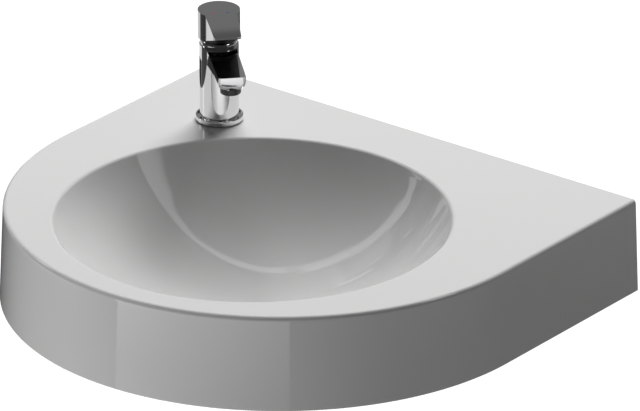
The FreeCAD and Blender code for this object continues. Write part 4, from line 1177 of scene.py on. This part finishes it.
class BASIN_OT_finishes(bpy.types.Operator):
    """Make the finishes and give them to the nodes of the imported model"""
    bl_idname = "basin.finishes"
    bl_label = "Finishes"

    def execute(self, context):
        made = all_finishes(context.scene.basin_finishes, context.scene.basin_sizes)
        for node, thing in frame["nodes"].items():
            thing.material_slots[0].material = made[SLOT_OF[node]]
        return {"FINISHED"}


class BASIN_OT_ceramic(bpy.types.Operator):
    """Make the ceramic basin"""
    bl_idname = "basin.ceramic"
    bl_label = "Ceramic"

    def execute(self, context):
        make_basin(context.scene.basin_sizes)
        return {"FINISHED"}


class BASIN_OT_mixer(bpy.types.Operator):
    """Dress the chromed pieces of the mixer, and the ring of its outlet"""
    bl_idname = "basin.mixer"
    bl_label = "Mixer"

    def execute(self, context):
        sizes = context.scene.basin_fittings
        dressed("tap_body", sizes.soft_edge, shape_column(sizes), TAP_AXIS)
        dressed("tap_handle", sizes.soft_edge, shape_lever(sizes), TAP_AXIS)
        dressed("tap_base_ring", sizes.soft_edge, axis=TAP_AXIS)
        dressed("tap_dome", sizes.soft_edge, axis=TAP_AXIS)
        dressed("aerator_ring", sizes.soft_edge, axis=OUTLET_AXIS)
        return {"FINISHED"}


class BASIN_OT_waste(bpy.types.Operator):
    """Dress the waste, and cut the thread on its tail"""
    bl_idname = "basin.waste"
    bl_label = "Waste"

    def execute(self, context):
        sizes = context.scene.basin_fittings
        seat = FLANGE_HIGH.z - sizes.flange_height
        groove_top = seat - sizes.groove_drop
        groove_foot = groove_top - sizes.groove_width
        threaded("waste_flange", WASTE_AXIS, sizes.tail_reach, sizes.tail_thread,
                 sizes.tail_pitch,
                 ((groove_top, seat - sizes.plain_neck), (FLANGE_LOW.z, groove_foot)))
        dress_all(("waste_cap", "waste_backnut"), sizes.soft_edge)
        dress_all(("waste_upper_seal", "waste_lower_seal", "waste_cartridge", "waste_plunger",
                   "waste_cap_seal"), sizes.small_edge)
        return {"FINISHED"}


class BASIN_OT_fixings(bpy.types.Operator):
    """Dress the mixer's fixing, its thread and the wall bushes"""
    bl_idname = "basin.fixings"
    bl_label = "Fixings"

    def execute(self, context):
        sizes = context.scene.basin_fittings
        threaded("tap_stud", STUD_AXIS, STUD_HIGH.x - STUD_AXIS.x, sizes.stud_thread,
                 sizes.stud_pitch, ((STUD_LOW.z, STUD_HIGH.z),))
        dress_all(("tap_gasket", "tap_rubber_washer", "tap_clamp_plate", "tap_fixing_nut",
                   "wall_bush_left", "wall_bush_right"), sizes.small_edge)
        return {"FINISHED"}


class BASIN_OT_cartridge(bpy.types.Operator):
    """Dress the cartridge and the small pieces of the lever and the outlet"""
    bl_idname = "basin.cartridge"
    bl_label = "Cartridge"

    def execute(self, context):
        dress_all(("cartridge_housing", "cartridge_nut", "cartridge_carrier",
                   "cartridge_pivot_pin", "cartridge_stem", "handle_screw", "hot_dot",
                   "cold_dot", "aerator_insert"), context.scene.basin_fittings.small_edge)
        return {"FINISHED"}


class BASIN_OT_stage(bpy.types.Operator):
    """Set the floor, the lamps, the reflecting cards and the camera"""
    bl_idname = "basin.stage"
    bl_label = "Stage"

    def execute(self, context):
        settings = context.scene.basin_stage
        set_camera(settings)
        set_world(settings.fill_level)
        set_floor(settings)
        for name, place, target, width, height, level in LAMPS:
            lamp(name, place, target, width, height, getattr(settings, level))
        canopy(*CANOPY_LEVELS)
        for strip in STRIPS:
            strip_card(*strip)
        for ring in ROUND_CARDS:
            round_card(*ring)
        return {"FINISHED"}


class BASIN_PT_panel(bpy.types.Panel):
    """Lists the basin's steps in the 3D view's sidebar"""
    bl_label = "Basin"
    bl_idname = "BASIN_PT_panel"
    bl_space_type = "VIEW_3D"
    bl_region_type = "UI"
    bl_category = "Basin"

    def draw(self, context):
        for step in STEPS:
            self.layout.operator(step.bl_idname)


STEPS = (BASIN_OT_finishes, BASIN_OT_ceramic, BASIN_OT_mixer, BASIN_OT_cartridge,
         BASIN_OT_waste, BASIN_OT_fixings, BASIN_OT_stage)
GROUPS = {"basin_sizes": BasinSizes, "basin_fittings": FittingSizes,
          "basin_finishes": Finishes, "basin_stage": StageSettings}


def register():
    for kind in (*GROUPS.values(), *STEPS, BASIN_PT_panel):
        bpy.utils.register_class(kind)
    for name, kind in GROUPS.items():
        setattr(bpy.types.Scene, name, bpy.props.PointerProperty(type=kind))


def unregister():
    for name in GROUPS:
        delattr(bpy.types.Scene, name)
    for kind in reversed((*GROUPS.values(), *STEPS, BASIN_PT_panel)):
        bpy.utils.unregister_class(kind)


def main():
    register()
    bpy.context.scene.view_settings.view_transform = "Standard"
    bpy.ops.basin.finishes()
    bpy.ops.basin.ceramic()
    bpy.ops.basin.mixer()
    bpy.ops.basin.cartridge()
    bpy.ops.basin.waste()
    bpy.ops.basin.fixings()
    bpy.ops.basin.stage()


if __name__ == "__main__":
    main()
